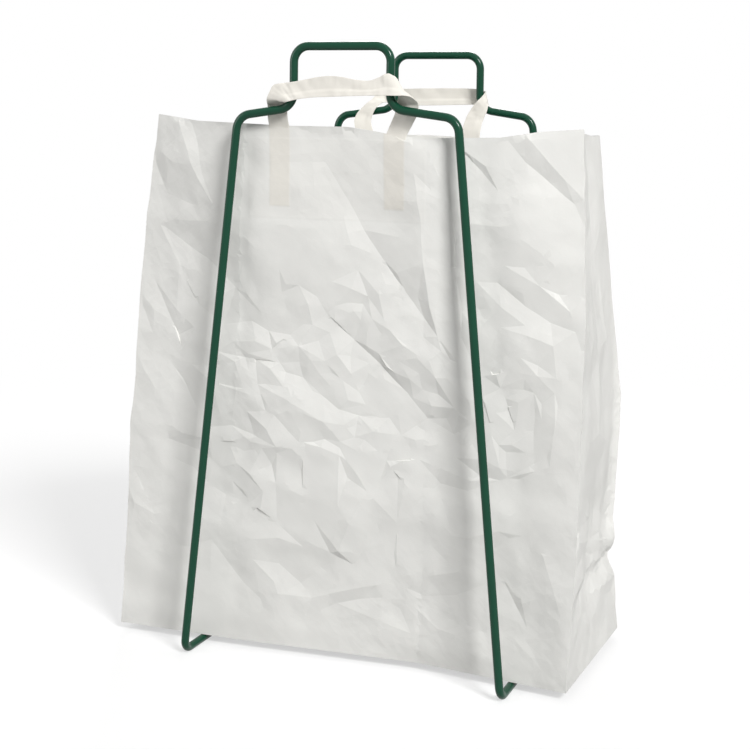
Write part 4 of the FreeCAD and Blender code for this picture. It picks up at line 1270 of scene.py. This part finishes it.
class RACK_OT_fold_bag(bpy.types.Operator):
    """Fold, crease and thicken the paper bag"""
    bl_idname = "rack.fold_bag"
    bl_label = "Fold the bag"
    bl_options = {"REGISTER", "UNDO"}

    def execute(self, context):
        settings = context.scene.rack_settings
        panels, lines = make_panels()
        edge = settings.other_mesh / MM
        sheets = []
        for number, (name, panel) in enumerate(panels.items()):
            spacing = (settings.front_mesh if name == "front" else settings.other_mesh) / MM
            sheets.append(panel.mesh(spacing, edge, MESH_SEED + number))
        sheets.append(base_sheet(lines, settings.base_mesh / MM, edge, BASE_SEED))
        points, faces = [], []
        for placed, turned in sheets:
            faces += [[index + len(points) for index in face] for face in turned]
            points += placed
        bag = piece_from("paper_bag", points, faces)
        select_only(bag)
        bpy.ops.object.mode_set(mode="EDIT")
        bpy.ops.mesh.select_all(action="SELECT")
        bpy.ops.mesh.remove_doubles(threshold=WELD)
        bpy.ops.mesh.normals_make_consistent(inside=False)
        bpy.ops.object.mode_set(mode="OBJECT")
        thicken(bag, settings.paper_thickness, -1)
        finish_modifiers(bag)
        bpy.ops.object.shade_smooth_by_angle(angle=math.radians(PAPER_ANGLE))
        tint = scaled(settings.strap_colour, WINDOW_TINT)
        windows = [(*end, STRAP_FOOT, WINDOW_TOP, tint, shows, END_LIFT)
                   for end, shows in zip(STRAP_ENDS, END_SHOWS)]
        windows.append((*PATCH_SPAN, PATCH_FOOT, PATCH_FOOT + PATCH_HEIGHT, tint, PATCH_SHOWS,
                        PATCH_LIFT))
        dress(bag, paper_material("bag_paper", settings.paper_colour, BAG_CRUMPLE, windows))
        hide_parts("bag")
        if len(bag.data.polygons) > BAG_FACE_LIMIT:
            raise RuntimeError("the bag has too many faces: %d" % len(bag.data.polygons))
        return {"FINISHED"}


class RACK_OT_lay_straps(bpy.types.Operator):
    """Lay both straps over the wire and in front of the necks"""
    bl_idname = "rack.lay_straps"
    bl_label = "Lay the straps"
    bl_options = {"REGISTER", "UNDO"}

    def execute(self, context):
        settings = context.scene.rack_settings
        paper = paper_material("strap_paper", settings.strap_colour, STRAP_CRUMPLE, [])
        for name, stations, seed, way in (("front_handle", FRONT_STRAP, 3.7, -1),
                                          ("back_handle", BACK_STRAP, 11.3, 1)):
            strap = make_strap(name + "_strap", stations, seed, settings.strap_thickness, way,
                               settings)
            dress(strap, paper)
            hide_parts(name)
        return {"FINISHED"}


class RACK_OT_glue_patches(bpy.types.Operator):
    """Glue the patches over the straps' ends inside the bag"""
    bl_idname = "rack.glue_patches"
    bl_label = "Glue the patches"
    bl_options = {"REGISTER", "UNDO"}

    def execute(self, context):
        settings = context.scene.rack_settings
        paper = paper_material("patch_paper", scaled(settings.paper_colour, PATCH_SHADE),
                               PATCH_CRUMPLE, [])
        for side, way in (("front", -1), ("back", 1)):
            low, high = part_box(side + "_patch")
            patch = grid_piece(side + "_patch_sheet", *PATCH_DIVISIONS)
            depth = paper_face(way)
            inset = (settings.paper_thickness + settings.strap_thickness
                     + settings.patch_thickness / 2) / MM + 2 * GLUE_GAP
            for vertex in patch.data.vertices:
                x = low.x / MM + (vertex.co.x + 0.5) * (high.x - low.x) / MM
                z = low.z / MM + (vertex.co.y + 0.5) * (high.z - low.z) / MM
                vertex.co = Vector((x, depth(x, z) - way * inset, z)) * MM
            thicken(patch, settings.patch_thickness, 0)
            finish_modifiers(patch)
            bpy.ops.object.shade_smooth_by_angle(angle=math.radians(PATCH_ANGLE))
            dress(patch, paper)
            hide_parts(side + "_patch")
        return {"FINISHED"}


class RACK_OT_set_stage(bpy.types.Operator):
    """Set the floor, the lamps, the white background and the camera"""
    bl_idname = "rack.set_stage"
    bl_label = "Set the stage"
    bl_options = {"REGISTER", "UNDO"}

    def execute(self, context):
        studio = context.scene.studio_settings
        deselect_all()
        bpy.ops.mesh.primitive_plane_add(size=studio.floor_size)
        floor = bpy.context.object
        floor.name = floor.data.name = "floor"
        floor.data.materials.append(floor_material(context.scene.rack_settings.floor_colour))
        for name, place, size, power in LAMPS:
            bpy.ops.object.light_add(type="AREA", location=place)
            lamp = bpy.context.object
            lamp.name = lamp.data.name = name
            lamp.data.shape = "SQUARE"
            lamp.data.size = size
            lamp.data.energy = getattr(studio, power)
            way = Vector(LAMP_AIM) - Vector(place)
            lamp.rotation_euler = way.to_track_quat("-Z", "Y").to_euler()
        sky = bpy.data.worlds.new("studio_sky")
        sky.use_nodes = True
        nodes, links = sky.node_tree.nodes, sky.node_tree.links
        light = set_inputs(nodes["Background"], Color=WHITE, Strength=studio.sky)
        white = add_node(nodes, "Background", Color=WHITE)
        whole = mixed(nodes, links, shown_rays(nodes, links), light.outputs["Background"],
                      white.outputs["Background"])
        links.new(whole, nodes["World Output"].inputs["Surface"])
        context.scene.world = sky
        context.scene.view_settings.view_transform = "Standard"
        bpy.ops.object.camera_add(location=CAMERA_PLACE)
        camera = bpy.context.object
        camera.name = camera.data.name = "camera"
        camera.rotation_euler = [math.radians(angle) for angle in CAMERA_TURN]
        camera.data.lens = CAMERA_LENS
        camera.data.sensor_width = CAMERA_SENSOR
        camera.data.clip_end = CAMERA_REACH
        context.scene.camera = camera
        return {"FINISHED"}


class RACK_PT_panel(bpy.types.Panel):
    """The rack's steps and sizes in the sidebar"""
    bl_idname = "RACK_PT_panel"
    bl_label = "Bag rack"
    bl_space_type = "VIEW_3D"
    bl_region_type = "UI"
    bl_category = "Bag rack"

    def draw(self, context):
        column = self.layout.column()
        for group in (context.scene.rack_settings, context.scene.studio_settings):
            for name in group.bl_rna.properties.keys():
                if name not in ("rna_type", "name"):
                    column.prop(group, name)
        for step in STEPS:
            column.operator(step.bl_idname)


STEPS = (RACK_OT_coat_wire, RACK_OT_fold_bag, RACK_OT_lay_straps, RACK_OT_glue_patches,
         RACK_OT_set_stage)
CLASSES = (RackSettings, StudioSettings, *STEPS, RACK_PT_panel)


def register():
    for kind in CLASSES:
        bpy.utils.register_class(kind)
    bpy.types.Scene.rack_settings = PointerProperty(type=RackSettings)
    bpy.types.Scene.studio_settings = PointerProperty(type=StudioSettings)


def unregister():
    del bpy.types.Scene.studio_settings
    del bpy.types.Scene.rack_settings
    for kind in reversed(CLASSES):
        bpy.utils.unregister_class(kind)


def main():
    """Build the dressed rack."""
    register()
    bpy.ops.rack.coat_wire()
    bpy.ops.rack.fold_bag()
    bpy.ops.rack.lay_straps()
    bpy.ops.rack.glue_patches()
    bpy.ops.rack.set_stage()


if __name__ == "__main__":
    main()
